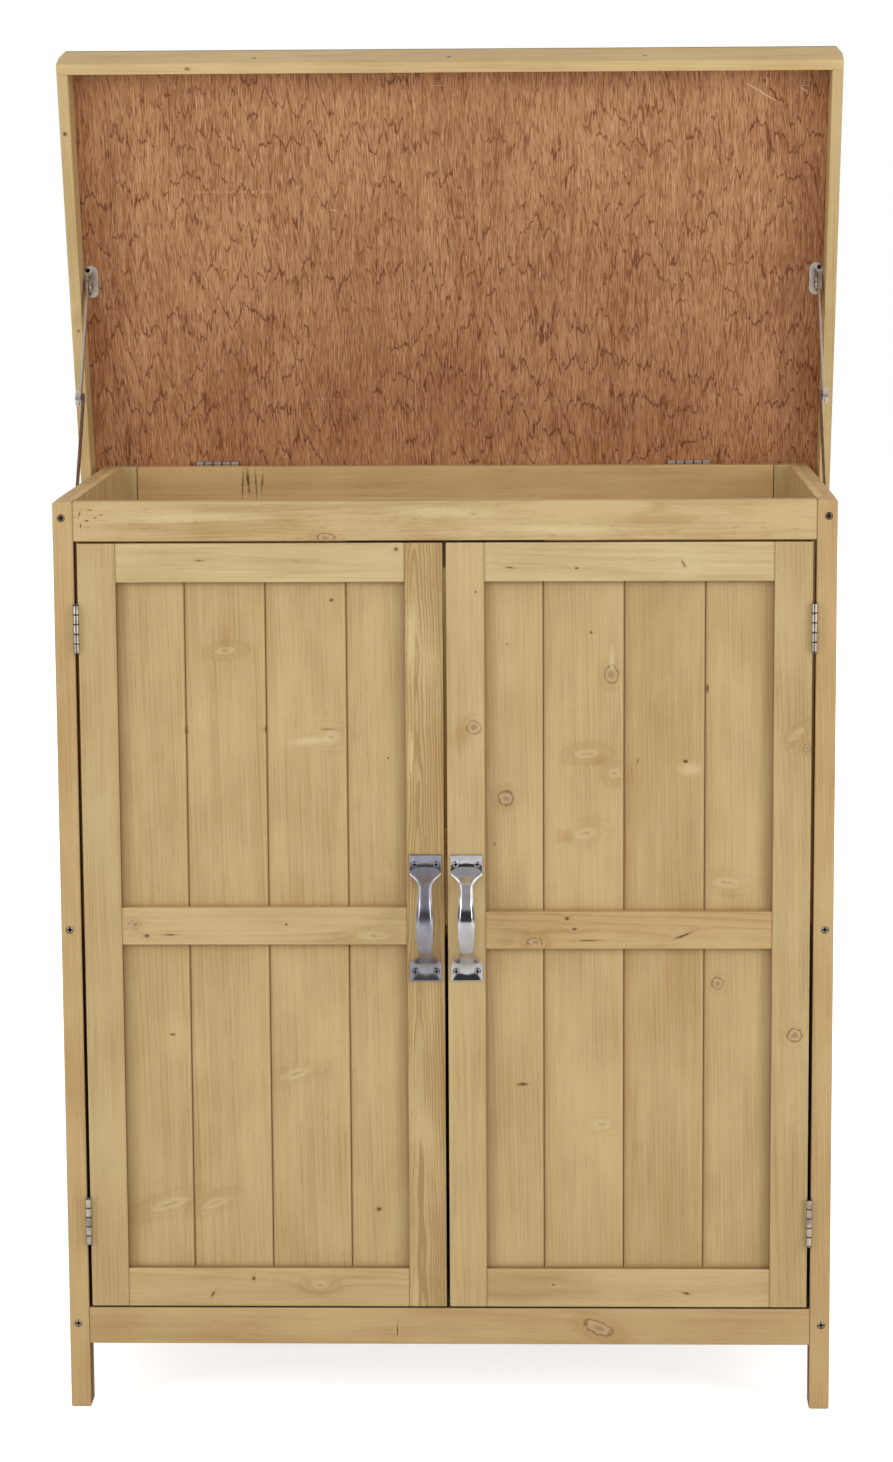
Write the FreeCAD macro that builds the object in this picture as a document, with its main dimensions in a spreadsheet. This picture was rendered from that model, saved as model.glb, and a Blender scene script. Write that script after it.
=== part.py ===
"""Garden storage cabinet: a wooden frame on four feet, with two doors and a lid that lifts at the front.

Millimetres, +Z up, +Y to the back, +X to the right of someone who faces the doors.
The origin is on the floor, below the middle of the whole cabinet as it stands with its lid open.
The doors stand closed. The lid stands open against its two folding stays, as in daily use.
"""

import FreeCAD, Part
import Sketcher
import os
import re

Vector = FreeCAD.Vector
Rotation = FreeCAD.Rotation

doc = FreeCAD.newDocument("garden_cabinet")

# Driving sizes: each is a plain number of millimetres or degrees, with its meaning beside it.
SIZES = [
    ("width", 800, "cabinet, outside, left to right"),
    ("body_height", 960, "floor to the top of the frame"),
    ("body_depth", 460, "front face to the outer face of the back"),
    ("edge_easing", 0.8, "rounding of the planed timber's edges"),
    ("upright_face", 21, "front upright, seen from the front"),
    ("upright_depth", 32, "front upright, front to back"),
    ("upright_easing", 2.0, "rounding of the front uprights' outer corner"),
    ("front_rail_thickness", 20, "front rails, front to back"),
    ("top_rail_height", 40, "front top rail"),
    ("bottom_rail_height", 39, "front bottom rail"),
    ("bottom_rail_lift", 70, "floor to the underside of the bottom rails"),
    ("side_rail_thickness", 12, "rails outside the side boards"),
    ("side_rail_height", 40, "rails outside the side boards"),
    ("middle_rail_lift", 495, "floor to the underside of the side and back middle rails"),
    ("board_thickness", 8, "tongue-and-groove boards"),
    ("board_cover", 83, "width that one board covers"),
    ("board_bevel", 1.6, "bevel on each side of a board joint"),
    ("board_joint", 0.3, "open joint between two boards"),
    ("tongue_length", 3, "tongue on a board's edge"),
    ("tongue_thickness", 2.6, "tongue on a board's edge"),
    ("tongue_drop", 3.0, "bevelled face to the tongue"),
    ("tongue_clearance", 0.3, "room round a tongue in its groove"),
    ("back_upright_face", 38, "back upright, seen from the front"),
    ("back_upright_depth", 20, "back upright, front to back"),
    ("back_rail_height", 45, "rails inside the back boards"),
    ("back_rail_gap", 0.8, "open joint between a back rail and an upright"),
    ("block_length", 203, "stop block behind the front top rail"),
    ("block_depth", 27, "stop block, front to back"),
    ("block_height", 70, "stop block, top to bottom"),
    ("catch_length", 40, "magnetic catch under the stop block"),
    ("catch_depth", 14, "magnetic catch, front to back"),
    ("catch_height", 12, "magnetic catch, top to bottom"),
    ("catch_inset", 26, "middle of the cabinet to a catch's middle"),
    ("catch_gap", 0.4, "open air between a catch and its strike plate"),
    ("strike_length", 30, "strike plate on a door"),
    ("strike_height", 11, "strike plate on a door"),
    ("strike_thickness", 1.2, "strike plate on a door"),
    ("floor_thickness", 8, "floor panel"),
    ("bearer_depth", 20, "bearers under the floor panel"),
    ("bearer_height", 30, "bearers under the floor panel"),
    ("panel_side_room", 1, "open joint between a panel and the side boards"),
    ("shelf_thickness", 12, "shelf panel"),
    ("shelf_lift", 500, "floor to the underside of the shelf"),
    ("shelf_setback", 42, "front face to the shelf's front edge"),
    ("batten_width", 18, "battens under the shelf"),
    ("batten_height", 18, "battens under the shelf"),
    ("batten_end_room", 28, "shelf end to batten end"),
    ("screw_head_radius", 4, "frame screw"),
    ("screw_head_length", 2.6, "frame screw"),
    ("screw_radius", 2, "frame screw"),
    ("screw_length", 60, "frame screw, head to point"),
    ("screw_inset", 9, "cabinet side to a frame screw"),
    ("screw_sink", 0.4, "head below the upright's face"),
    ("top_screw_drop", 16.3, "top of the frame to the upper frame screws"),
    ("bottom_screw_rise", 21.5, "underside of the bottom rails to the lower frame screws"),
    ("drill_clearance", 0.1, "room round a screw"),
    ("door_thickness", 19.6, "door, front to back"),
    ("door_side_gap", 3.5, "upright to door"),
    ("door_middle_gap", 3.5, "door to door"),
    ("door_top_gap", 2.5, "front top rail to door"),
    ("door_bottom_gap", 2, "front bottom rail to door"),
    ("stile_width", 39, "upright members of a door"),
    ("door_top_rail_height", 40, "upper member of a door"),
    ("door_bottom_rail_height", 41, "lower member of a door"),
    ("door_middle_rail_height", 39, "middle member of a door"),
    ("left_middle_rail_centre", 519, "floor to the middle of the left door's middle member"),
    ("right_middle_rail_centre", 514.5, "floor to the middle of the right door's middle member"),
    ("board_recess", 9, "door's face to its boards' face"),
    ("first_groove_inset", 18, "middle of the cabinet to the first line of the door boards"),
    ("hinge_length", 50, "butt hinge"),
    ("leaf_thickness", 1.2, "butt hinge leaf"),
    ("leaf_width", 17, "butt hinge leaf, axis to edge"),
    ("barrel_radius", 2.9, "door hinge barrel"),
    ("barrel_lift", 3.0, "front face to the door hinge axis"),
    ("pin_radius", 1.3, "hinge pin"),
    ("pin_clearance", 0.05, "room round a hinge pin"),
    ("pin_head_length", 1.0, "hinge pin head"),
    ("knuckle_gap", 0.3, "open joint between two knuckles"),
    ("upper_hinge_drop", 87.5, "top of a door to the middle of its upper hinge"),
    ("lower_hinge_rise", 92.5, "underside of a door to the middle of its lower hinge"),
    ("handle_centre_lift", 528, "floor to the middle of a handle"),
    ("handle_length", 134, "handle, top to bottom"),
    ("handle_width", 34, "handle foot, side to side"),
    ("handle_foot_height", 21.5, "handle foot, top to bottom"),
    ("handle_foot_thickness", 2.6, "handle foot, front to back"),
    ("handle_reach", 33, "door's face to the handle's outer face"),
    ("handle_bow_thickness", 6, "handle bow"),
    ("handle_bow_inset", 17, "handle end to the start of the bow"),
    ("handle_neck_width", 14.5, "handle bow beside a foot"),
    ("handle_waist_bulge", 1.6, "how far the bow is wider halfway than at its neck, each side"),
    ("handle_screw_inset", 11, "handle's middle line to a handle screw"),
    ("handle_screw_radius", 1.7, "handle screw"),
    ("handle_screw_length", 14, "handle screw in the door"),
    ("handle_screw_head_radius", 3.1, "handle screw"),
    ("handle_screw_head_length", 1.4, "handle screw"),
    ("lid_open_angle", 73, "closed to open, in degrees"),
    ("lid_closed_sag", 0.5, "slope of the closed lid, down to the front, in degrees"),
    ("lid_axis_lift", 2, "top of the frame to the lid hinge axis"),
    ("lid_barrel_radius", 2.5, "lid hinge barrel"),
    ("lid_barrel_room", 0.3, "barrel to the wood beside it"),
    ("lid_hinge_left", 271.5, "middle of the cabinet to the left lid hinge"),
    ("lid_hinge_right", 266.5, "middle of the cabinet to the right lid hinge"),
    ("lid_leaf_width", 22, "lid hinge leaf, axis to edge"),
    ("lid_reach", 478, "lid hinge axis to the front apron's outer face"),
    ("lid_overhang", 25, "lid hinge axis to the lid's back edge"),
    ("lid_side_gap", 12, "cabinet side to the boards round the lid"),
    ("lid_panel_thickness", 9, "lid panel"),
    ("lid_covering_thickness", 1.5, "weatherproof sheet on the lid"),
    ("lid_covering_inset", 4.5, "lid's side to the sheet's edge"),
    ("apron_thickness", 12, "boards round the lid"),
    ("apron_height", 51, "boards round the lid"),
    ("apron_corner_inset", 4, "taper of the front apron's upper corners"),
    ("apron_corner_drop", 24, "taper of the front apron's upper corners"),
    ("nail_spacing", 211, "between the nails in the front apron"),
    ("nail_drop", 32, "top of the apron to its nails"),
    ("nail_head_radius", 2.6, "apron nail"),
    ("nail_head_length", 0.6, "apron nail"),
    ("nail_radius", 1, "apron nail"),
    ("nail_length", 8, "apron nail, head to point"),
    ("plate_thickness", 1.5, "plates of the lid stays"),
    ("stay_ear_inset", 2, "cabinet side to the bracket's ear"),
    ("stay_ear_thickness", 2, "ear of the lid bracket"),
    ("stay_ear_width", 18, "ear of the lid bracket"),
    ("stay_bracket_length", 38, "lid bracket, along the lid"),
    ("stay_bracket_room", 0.4, "lid bracket to the side apron"),
    ("stay_lid_pivot_reach", 218, "lid hinge axis to the pivot on the lid, along the lid"),
    ("stay_lid_pivot_drop", 12, "lid hinge axis to the pivot on the lid, below the lid"),
    ("stay_side_pivot_depth", 222, "front face to the pivot on the side"),
    ("stay_side_pivot_drop", 14, "top of the frame to the pivot on the side"),
    ("stay_side_plate_length", 32, "plate on the cabinet's side"),
    ("stay_side_plate_height", 26, "plate on the cabinet's side"),
    ("stay_side_plate_margin", 2, "top of the frame to the plate"),
    ("arm_thickness", 2, "arm of a lid stay"),
    ("arm_width", 12, "arm of a lid stay"),
    ("arm_gap", 1.3, "open air between the two arms of a stay"),
    ("stay_pin_radius", 2.5, "pivot pin of a stay"),
    ("stay_pin_clearance", 0.08, "room round a pivot pin"),
    ("stay_head_radius", 4, "head of a pivot pin"),
    ("stay_head_length", 0.8, "head of a pivot pin"),
    ("elbow_radius", 8.5, "drum on the elbow of a stay"),
    ("elbow_length", 3.7, "drum on the elbow of a stay"),
    ("elbow_washer_radius", 5, "washer inside the elbow"),
    ("elbow_washer_length", 1, "washer inside the elbow"),
    ("stay_screw_radius", 1.5, "screw in a plate"),
    ("stay_screw_head_radius", 2.8, "screw in a plate"),
    ("stay_screw_head_length", 0.3, "screw in a plate"),
    ("stay_screw_length", 9, "screw in a plate"),
    ("stay_screw_margin", 5.5, "plate end to screw"),
]

sheet = doc.addObject("Spreadsheet::Sheet", "sizes")
for row, (alias, number, meaning) in enumerate(SIZES, start=1):
    sheet.set(f"A{row}", meaning)
    sheet.set(f"B{row}", str(number))
    sheet.setAlias(f"B{row}", alias)
doc.recompute()

# Sizes and places that follow from the driving sizes.
DERIVED = [
    ("half_width", "width / 2"),
    ("upright_inside", "half_width - upright_face"),
    ("side_thickness", "side_rail_thickness + board_thickness"),
    ("side_inside", "half_width - side_thickness"),
    ("lid_axis_setback", "lid_barrel_radius + lid_barrel_room"),
    ("lid_rise", "lid_axis_setback + lid_panel_thickness + lid_covering_thickness"),
    ("lid_cos", "cos(lid_open_angle * 1deg)"),
    ("lid_sin", "sin(lid_open_angle * 1deg)"),
    ("lid_back_reach", "lid_axis_setback + lid_overhang * lid_cos + lid_rise * lid_sin"),
    ("front", "(handle_reach - body_depth - lid_back_reach) / 2"),
    ("back", "front + body_depth"),
    ("back_boards_inside", "back - board_thickness"),
    ("back_inside", "back - back_upright_depth"),
    ("axis_depth", "back + lid_axis_setback"),
    ("axis_height", "body_height + lid_axis_lift"),
    ("door_bottom", "bottom_rail_lift + bottom_rail_height + door_bottom_gap"),
    ("door_top", "body_height - top_rail_height - door_top_gap"),
    ("door_height", "door_top - door_bottom"),
    ("door_outer_edge", "upright_inside - door_side_gap"),
    ("door_inner_edge", "door_middle_gap / 2"),
    ("door_width", "door_outer_edge - door_inner_edge"),
    ("door_room", "door_width - 2 * stile_width"),
    ("door_axis", "upright_inside - door_side_gap / 2"),
    ("floor_top", "bottom_rail_lift + bottom_rail_height"),
    ("bow_chord", "handle_length - 2 * handle_bow_inset"),
    ("bow_rise", "handle_reach - handle_foot_thickness"),
    ("bow_outer_radius", "(bow_chord ^ 2 / 4 + bow_rise ^ 2) / (2 * bow_rise)"),
    ("bow_inner_chord", "bow_chord - 2 * handle_bow_thickness"),
    ("bow_inner_rise", "handle_reach - handle_bow_thickness"),
    ("bow_inner_radius", "(bow_inner_chord ^ 2 / 4 + bow_inner_rise ^ 2) / (2 * bow_inner_rise)"),
    ("waist_chord", "handle_length - 2 * handle_foot_height"),
    ("waist_radius", "(waist_chord ^ 2 / 4 + handle_waist_bulge ^ 2) / (2 * handle_waist_bulge)"),
    ("lid_width", "width + 2 * (lid_side_gap + apron_thickness)"),
    ("apron_inside", "lid_width / 2 - apron_thickness"),
    ("stay_arm_start", "half_width + stay_ear_inset"),
    ("stay_outer_arm_start", "stay_arm_start + arm_thickness + arm_gap"),
    ("lid_pivot_depth", "axis_depth - stay_lid_pivot_reach * lid_cos - stay_lid_pivot_drop * lid_sin"),
    ("lid_pivot_height", "axis_height + stay_lid_pivot_reach * lid_sin - stay_lid_pivot_drop * lid_cos"),
    ("sag_cos", "cos(lid_closed_sag * 1deg)"),
    ("sag_sin", "sin(lid_closed_sag * 1deg)"),
    ("closed_pivot_depth", "axis_depth - stay_lid_pivot_reach * sag_cos + stay_lid_pivot_drop * sag_sin"),
    ("closed_pivot_height", "axis_height - stay_lid_pivot_reach * sag_sin - stay_lid_pivot_drop * sag_cos"),
    ("side_pivot_depth", "front + stay_side_pivot_depth"),
    ("side_pivot_height", "body_height - stay_side_pivot_drop"),
    ("open_run", "lid_pivot_depth - side_pivot_depth"),
    ("open_climb", "lid_pivot_height - side_pivot_height"),
    ("closed_run", "closed_pivot_depth - side_pivot_depth"),
    ("closed_climb", "closed_pivot_height - side_pivot_height"),
    ("stay_open_span", "sqrt(open_run ^ 2 + open_climb ^ 2)"),
    ("stay_closed_span", "sqrt(closed_run ^ 2 + closed_climb ^ 2)"),
    ("upper_arm_length", "(stay_open_span + stay_closed_span) / 2"),
    ("lower_arm_length", "(stay_open_span - stay_closed_span) / 2"),
    ("stay_open_angle", "atan2(open_climb; open_run) / 1deg"),
]

derived = doc.addObject("App::VarSet", "derived")
OWNER = {alias: "sizes." + alias for alias, number, meaning in SIZES}


def link(expression):
    """Turn plain size names into references to where they are kept."""
    return re.sub(r"[a-z][a-z_]+", lambda word: OWNER.get(word.group(0), word.group(0)), str(expression))


def number_of(expression):
    """The present value of an expression in plain size names."""
    return float(derived.evalExpression(link(expression)))


for name, expression in DERIVED:
    derived.addProperty("App::PropertyFloat", name, "Derived")
    derived.setExpression(name, link(expression))
    OWNER[name] = "derived." + name
    doc.recompute()


# Helpers that place and shape one piece
ALONG_X = Rotation(Vector(0, 1, 0), 90)
ALONG_Y = Rotation(Vector(1, 0, 0), -90)
ALONG_Z = Rotation()
AGAINST_X = Rotation(Vector(0, 1, 0), -90)

pieces = []


def put(thing, x, y, z, rotation=ALONG_Z):
    """Place a thing with a fixed rotation and bound coordinates."""
    thing.Placement = FreeCAD.Placement(Vector(), rotation)
    for axis, expression in (("x", x), ("y", y), ("z", z)):
        thing.setExpression("Placement.Base." + axis, link(expression))
    return thing


def keep(label, thing):
    """Mark a shape as one of the cabinet's pieces, under the name of its file."""
    thing.Label = label
    pieces.append(thing)
    return thing


def block(name, x, y, z, length, width, height):
    """A plain rectangular solid from its lowest corner."""
    box = doc.addObject("Part::Box", name)
    for size, expression in (("Length", length), ("Width", width), ("Height", height)):
        box.setExpression(size, link(expression))
    return put(box, x, y, z)


def cylinder(name, x, y, z, radius, length, rotation=ALONG_Z):
    rod = doc.addObject("Part::Cylinder", name)
    rod.setExpression("Radius", link(radius))
    rod.setExpression("Height", link(length))
    return put(rod, x, y, z, rotation)


def together(name, shapes):
    """Separate solids kept as one group."""
    group = doc.addObject("Part::Compound", name)
    group.Links = shapes
    return group


def fused(name, shapes):
    whole = doc.addObject("Part::MultiFuse", name)
    whole.Shapes = shapes
    whole.Refine = True
    return whole


def without(name, base, tools):
    """A shape less one or more tools, which don't touch each other."""
    cut = doc.addObject("Part::Cut", name)
    cut.Base = base
    cut.Tool = tools[0] if len(tools) == 1 else together(name + "_tools", tools)
    return cut


def origin_plane(body, role):
    return [feature for feature in body.Origin.OriginFeatures if feature.Role == role][0]


def sketch_on(body, role, name):
    sketch = body.newObject("Sketcher::SketchObject", name)
    sketch.AttachmentSupport = [(origin_plane(body, role), "")]
    sketch.MapMode = "FlatFace"
    return sketch


def bind_point(sketch, edge, vertex, x, y):
    """Hold one end of an edge at a bound distance from the sketch's origin."""
    for kind, expression in (("DistanceX", x), ("DistanceY", y)):
        distance = Sketcher.Constraint(kind, -1, 1, edge, vertex, number_of(expression))
        index = sketch.addConstraint(distance)
        sketch.setExpression(f"Constraints[{index}]", link(expression))


def outline(sketch, corners):
    """A closed outline of straight edges whose corners are given as expressions."""
    points = [Vector(number_of(x), number_of(y), 0) for x, y in corners]
    first = sketch.GeometryCount
    count = len(corners)
    for index in range(count):
        following = points[(index + 1) % count]
        sketch.addGeometry(Part.LineSegment(points[index], following), False)
    for index in range(count):
        following = first + (index + 1) % count
        sketch.addConstraint(Sketcher.Constraint("Coincident", first + index, 2, following, 1))
        bind_point(sketch, first + index, 1, *corners[index])


def padded(name, role, corners, length):
    """A body whose outline is pushed out from one of its own planes."""
    body = doc.addObject("PartDesign::Body", name)
    sketch = sketch_on(body, role, name + "_outline")
    outline(sketch, corners)
    pad = body.newObject("PartDesign::Pad", name + "_pad")
    pad.Profile = sketch
    pad.setExpression("Length", link(length))
    doc.recompute()
    return body, pad


def timber(name, x, y, z, length, width, height, easing="edge_easing"):
    """A planed length of wood with eased edges, from its lowest corner."""
    corners = [("0", "0"), (length, "0"), (length, width), ("0", width)]
    body, pad = padded(name, "XY_Plane", corners, height)
    rounding = body.newObject("PartDesign::Fillet", name + "_easing")
    rounding.Base = (pad, [""])
    rounding.UseAllEdges = True
    rounding.setExpression("Radius", link(easing))
    return put(body, x, y, z)


def screw(name, x, y, z, rotation, head_radius, head_length, shank_radius, shank_length, room="0"):
    """A screw or nail, or with some room the hole for it: its head starts at the given point."""
    head = cylinder(name + "_head", "0", "0", "0", f"{head_radius} + {room}", head_length)
    shank = cylinder(name + "_shank", "0", "0", "0", f"{shank_radius} + {room}",
                     f"{head_length} + {shank_length} + {room}")
    return put(fused(name, [head, shank]), x, y, z, rotation)


def tongue_boards(name, spot, turn, height, across, room):
    """Tongue-and-groove boards side by side, trimmed to the room between their frame pieces."""
    edge = "(board_cover - board_joint)"
    groove_near = "(tongue_drop - tongue_clearance)"
    groove_far = "(tongue_drop + tongue_thickness + tongue_clearance)"
    groove_floor = "(tongue_length + tongue_clearance)"
    corners = [
        ("board_bevel", "0"),
        (f"{edge} - board_bevel", "0"),
        (edge, "board_bevel"),
        (edge, "tongue_drop"),
        (f"{edge} + tongue_length", "tongue_drop"),
        (f"{edge} + tongue_length", "tongue_drop + tongue_thickness"),
        (edge, "tongue_drop + tongue_thickness"),
        (edge, "board_thickness"),
        ("0", "board_thickness"),
        ("0", groove_far),
        (groove_floor, groove_far),
        (groove_floor, groove_near),
        ("0", groove_near),
        ("0", "board_bevel"),
    ]
    body, pad = padded(name + "_run", "XY_Plane", corners, height)
    body.AllowCompound = True
    row = body.newObject("PartDesign::LinearPattern", name + "_row")
    row.Originals = [pad]
    row.Direction = (pad.Profile[0], ["H_Axis"])
    row.Mode = "Spacing"
    row.setExpression("Offset", link("board_cover"))
    row.setExpression("Occurrences", link(f"ceil(({across}) / board_cover)"))
    body.Tip = row
    put(body, *spot, rotation=turn)
    trimmed = doc.addObject("Part::Common", name)
    trimmed.Base = body
    trimmed.Tool = block(name + "_room", *room)
    return trimmed


def butt_hinge(name, radius, offset, width):
    """Frame leaf, moving leaf and pin round a vertical axis, both leaves reaching backwards.

    The frame leaf lies on the -X side of the axis and the moving leaf on the +X side.
    """
    knuckle_count = 5
    step = f"(hinge_length / {knuckle_count})"
    leaves = []
    for side, kind, first in ((-1, "frame", 0), (1, "moving", 1)):
        start = f"-({offset})" if side < 0 else f"({offset}) - leaf_thickness"
        plate = block(f"{name}_{kind}_plate", start, f"{radius} + knuckle_gap", "-hinge_length / 2",
                      "leaf_thickness", f"{width} - {radius} - knuckle_gap", "hinge_length")
        shapes = [plate]
        for index in range(first, knuckle_count, 2):
            low = f"{index} * {step} - hinge_length / 2 + knuckle_gap / 2"
            tall = f"{step} - knuckle_gap"
            shapes.append(cylinder(f"{name}_{kind}_knuckle_{index}", "0", "0", low, radius, tall))
            shapes.append(block(f"{name}_{kind}_tab_{index}", start, "0", low,
                                "leaf_thickness", f"{radius} + knuckle_gap + leaf_thickness", tall))
        solid = fused(f"{name}_{kind}_solid", shapes)
        bore = cylinder(f"{name}_{kind}_bore", "0", "0", "-hinge_length",
                        "pin_radius + pin_clearance", "2 * hinge_length")
        leaves.append(without(f"{name}_{kind}_leaf", solid, [bore]))
    shaft = cylinder(name + "_shaft", "0", "0", "-hinge_length / 2", "pin_radius", "hinge_length")
    head = cylinder(name + "_pin_head", "0", "0", "hinge_length / 2", f"{radius} - 2 * knuckle_gap",
                    "pin_head_length")
    leaves.append(fused(name + "_pin", [shaft, head]))
    return leaves


# Frame of the cabinet
SIDES = (("left", -1), ("right", 1))
SCREW_LIFTS = (
    ("top", "(body_height - top_screw_drop)"),
    ("middle", "(middle_rail_lift + side_rail_height / 2)"),
    ("bottom", "(bottom_rail_lift + bottom_screw_rise)"),
)


def inwards(side, distance, size):
    """Lowest X of a piece of some size whose outer face is at a distance from the middle."""
    return f"-({distance})" if side < 0 else f"({distance}) - ({size})"


def sideways(side, distance, size):
    """Lowest X of a piece of some size whose inner face is at a distance from the middle."""
    return f"-({distance}) - ({size})" if side < 0 else f"({distance})"


# Stay plates on the cabinet's sides, each with the pin of a lower arm and two screws into the top rail
plate_holes = {}
frame_screws = []
plate_low = "(body_height - stay_side_plate_margin - stay_side_plate_height)"
side_pin_length = "(stay_ear_inset + arm_thickness + stay_pin_clearance)"
for side_name, side in SIDES:
    plate = block(f"{side_name}_side_plate_sheet", sideways(side, "half_width", "plate_thickness"),
                  "side_pivot_depth - stay_side_plate_length / 2", plate_low,
                  "plate_thickness", "stay_side_plate_length", "stay_side_plate_height")
    pin = cylinder(f"{side_name}_side_pin", sideways(side, "half_width", side_pin_length),
                   "side_pivot_depth", "side_pivot_height", "stay_pin_radius", side_pin_length, ALONG_X)
    head = cylinder(f"{side_name}_side_pin_head",
                    sideways(side, f"half_width + {side_pin_length}", "stay_head_length"),
                    "side_pivot_depth", "side_pivot_height", "stay_head_radius", "stay_head_length", ALONG_X)
    side_plate = fused(f"{side_name}_side_plate_solid", [plate, pin, head])
    plate_holes[side_name] = []
    inward_turn = ALONG_X if side < 0 else AGAINST_X
    for end_name, end in (("front", -1), ("back", 1)):
        spot = (f"{side} * (half_width + plate_thickness)",
                f"side_pivot_depth + {end} * (stay_side_plate_length / 2 - stay_screw_margin)",
                f"{plate_low} + stay_screw_margin")
        for kind, room, where in (
            ("screw", "0", frame_screws),
            ("hole", "drill_clearance", plate_holes[side_name]),
        ):
            where.append(screw(f"{side_name}_side_plate_{end_name}_{kind}", *spot, inward_turn,
                               "stay_screw_head_radius", "stay_screw_head_length", "stay_screw_radius",
                               "plate_thickness + stay_screw_length", room))
    keep(f"stay_side_plate_{side_name}",
         without(f"stay_side_plate_{side_name}", side_plate, plate_holes[side_name]))

# Front uprights, and the rails that their screws run into
screw_holes = {}
for side_name, side in SIDES:
    screw_holes[side_name] = []
    for row_name, lift in SCREW_LIFTS:
        across = f"{side} * (half_width - screw_inset)"
        for kind, sink, room, where in (
            ("screw", "screw_sink", "0", frame_screws),
            ("hole", "0", "drill_clearance", screw_holes[side_name]),
        ):
            where.append(screw(f"{side_name}_{row_name}_frame_{kind}", across, f"front + {sink}", lift,
                               ALONG_Y, "screw_head_radius", f"(screw_head_length + screw_sink - {sink})",
                               "screw_radius", "screw_length", room))

for side_name, side in SIDES:
    upright = timber(f"{side_name}_front_upright_blank", inwards(side, "half_width", "upright_face"),
                     "front", "0", "upright_face", "upright_depth", "body_height", "upright_easing")
    keep(f"front_upright_{side_name}",
         without(f"front_upright_{side_name}", upright, screw_holes[side_name]))
    keep(f"back_upright_{side_name}",
         timber(f"back_upright_{side_name}", inwards(side, "half_width", "back_upright_face"),
                "back_inside", "0", "back_upright_face", "back_upright_depth", "body_height"))

    rails = []
    for row_name, low in (
        ("top", "body_height - side_rail_height"),
        ("middle", "middle_rail_lift"),
        ("bottom", "bottom_rail_lift"),
    ):
        rails.append(timber(f"{side_name}_side_rail_{row_name}",
                            inwards(side, "half_width", "side_rail_thickness"), "front + upright_depth", low,
                            "side_rail_thickness", "body_depth - upright_depth - back_upright_depth",
                            "side_rail_height"))
    rail_group = together(f"{side_name}_side_rail_blanks", rails)
    keep(f"side_rails_{side_name}",
         without(f"side_rails_{side_name}", rail_group, screw_holes[side_name] + plate_holes[side_name]))

side_run = "(body_depth - upright_depth - back_upright_depth)"
panel_height = "(body_height - bottom_rail_lift)"
for side_name, side in SIDES:
    outer_face = "(half_width - side_rail_thickness)"
    if side < 0:
        turn = Rotation(Vector(0, 0, 1), -90)
        start = f"front + upright_depth + ceil({side_run} / board_cover) * board_cover"
    else:
        turn = Rotation(Vector(0, 0, 1), 90)
        start = "front + upright_depth"
    room = (inwards(side, outer_face, "board_thickness"), "front + upright_depth", "bottom_rail_lift",
            "board_thickness", side_run, panel_height)
    keep(f"side_boards_{side_name}",
         tongue_boards(f"side_boards_{side_name}", (f"{side} * {outer_face}", start, "bottom_rail_lift"),
                       turn, panel_height, side_run, room))

keep("front_top_rail",
     timber("front_top_rail", "-upright_inside", "front", "body_height - top_rail_height",
            "2 * upright_inside", "front_rail_thickness", "top_rail_height"))
keep("front_bottom_rail",
     timber("front_bottom_rail", "-upright_inside", "front", "bottom_rail_lift",
            "2 * upright_inside", "front_rail_thickness", "bottom_rail_height"))

back_room = "(half_width - back_upright_face)"
back_rails = []
for row_name, low in (
    ("top", "body_height - back_rail_height"),
    ("middle", "middle_rail_lift"),
    ("bottom", "bottom_rail_lift"),
):
    back_rails.append(timber(f"back_rail_{row_name}", f"back_rail_gap - {back_room}", "back_inside", low,
                             f"2 * ({back_room} - back_rail_gap)", "back_upright_depth - board_thickness",
                             "back_rail_height"))
keep("back_rails", together("back_rails", back_rails))

back_across = f"(2 * {back_room})"
keep("back_boards",
     tongue_boards("back_boards", (f"ceil({back_across} / board_cover) * board_cover / 2", "back",
                                   "bottom_rail_lift"),
                   Rotation(Vector(0, 0, 1), 180), panel_height, back_across,
                   (f"-{back_room}", "back_boards_inside", "bottom_rail_lift",
                    back_across, "board_thickness", panel_height)))

keep("frame_screws", together("frame_screws", frame_screws))

# Floor and shelf
inside_start = "(front + front_rail_thickness)"
inside_depth = "(back_inside - front - front_rail_thickness)"
panel_half = "(side_inside - panel_side_room)"
keep("floor_panel",
     timber("floor_panel", f"-{panel_half}", inside_start, "floor_top - floor_thickness",
            f"2 * {panel_half}", inside_depth, "floor_thickness"))
bearers = []
for spot, depth in (("front", inside_start), ("back", "back_inside - bearer_depth")):
    bearers.append(timber(f"{spot}_bearer", "-upright_inside", depth,
                          "floor_top - floor_thickness - bearer_height",
                          "2 * upright_inside", "bearer_depth", "bearer_height"))
keep("floor_bearers", together("floor_bearers", bearers))
keep("shelf_panel",
     timber("shelf_panel", f"-{panel_half}", "front + shelf_setback", "shelf_lift",
            f"2 * {panel_half}", "back_inside - front - shelf_setback", "shelf_thickness"))
battens = []
for side_name, side in SIDES:
    battens.append(timber(f"{side_name}_shelf_batten", inwards(side, "side_inside", "batten_width"),
                          "front + shelf_setback + batten_end_room", "shelf_lift - batten_height",
                          "batten_width", "back_inside - front - shelf_setback - 2 * batten_end_room",
                          "batten_height"))
keep("shelf_battens", together("shelf_battens", battens))

# Stop block and magnetic catches
keep("stop_block",
     timber("stop_block", "-block_length / 2", inside_start, "body_height - block_height",
            "block_length", "block_depth", "block_height"))
catches = []
for side_name, side in SIDES:
    catches.append(timber(f"{side_name}_catch", f"{side} * catch_inset - catch_length / 2",
                          "front + door_thickness + strike_thickness + catch_gap",
                          "body_height - block_height - catch_height",
                          "catch_length", "catch_depth", "catch_height"))
keep("magnet_catches", together("magnet_catches", catches))


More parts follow.
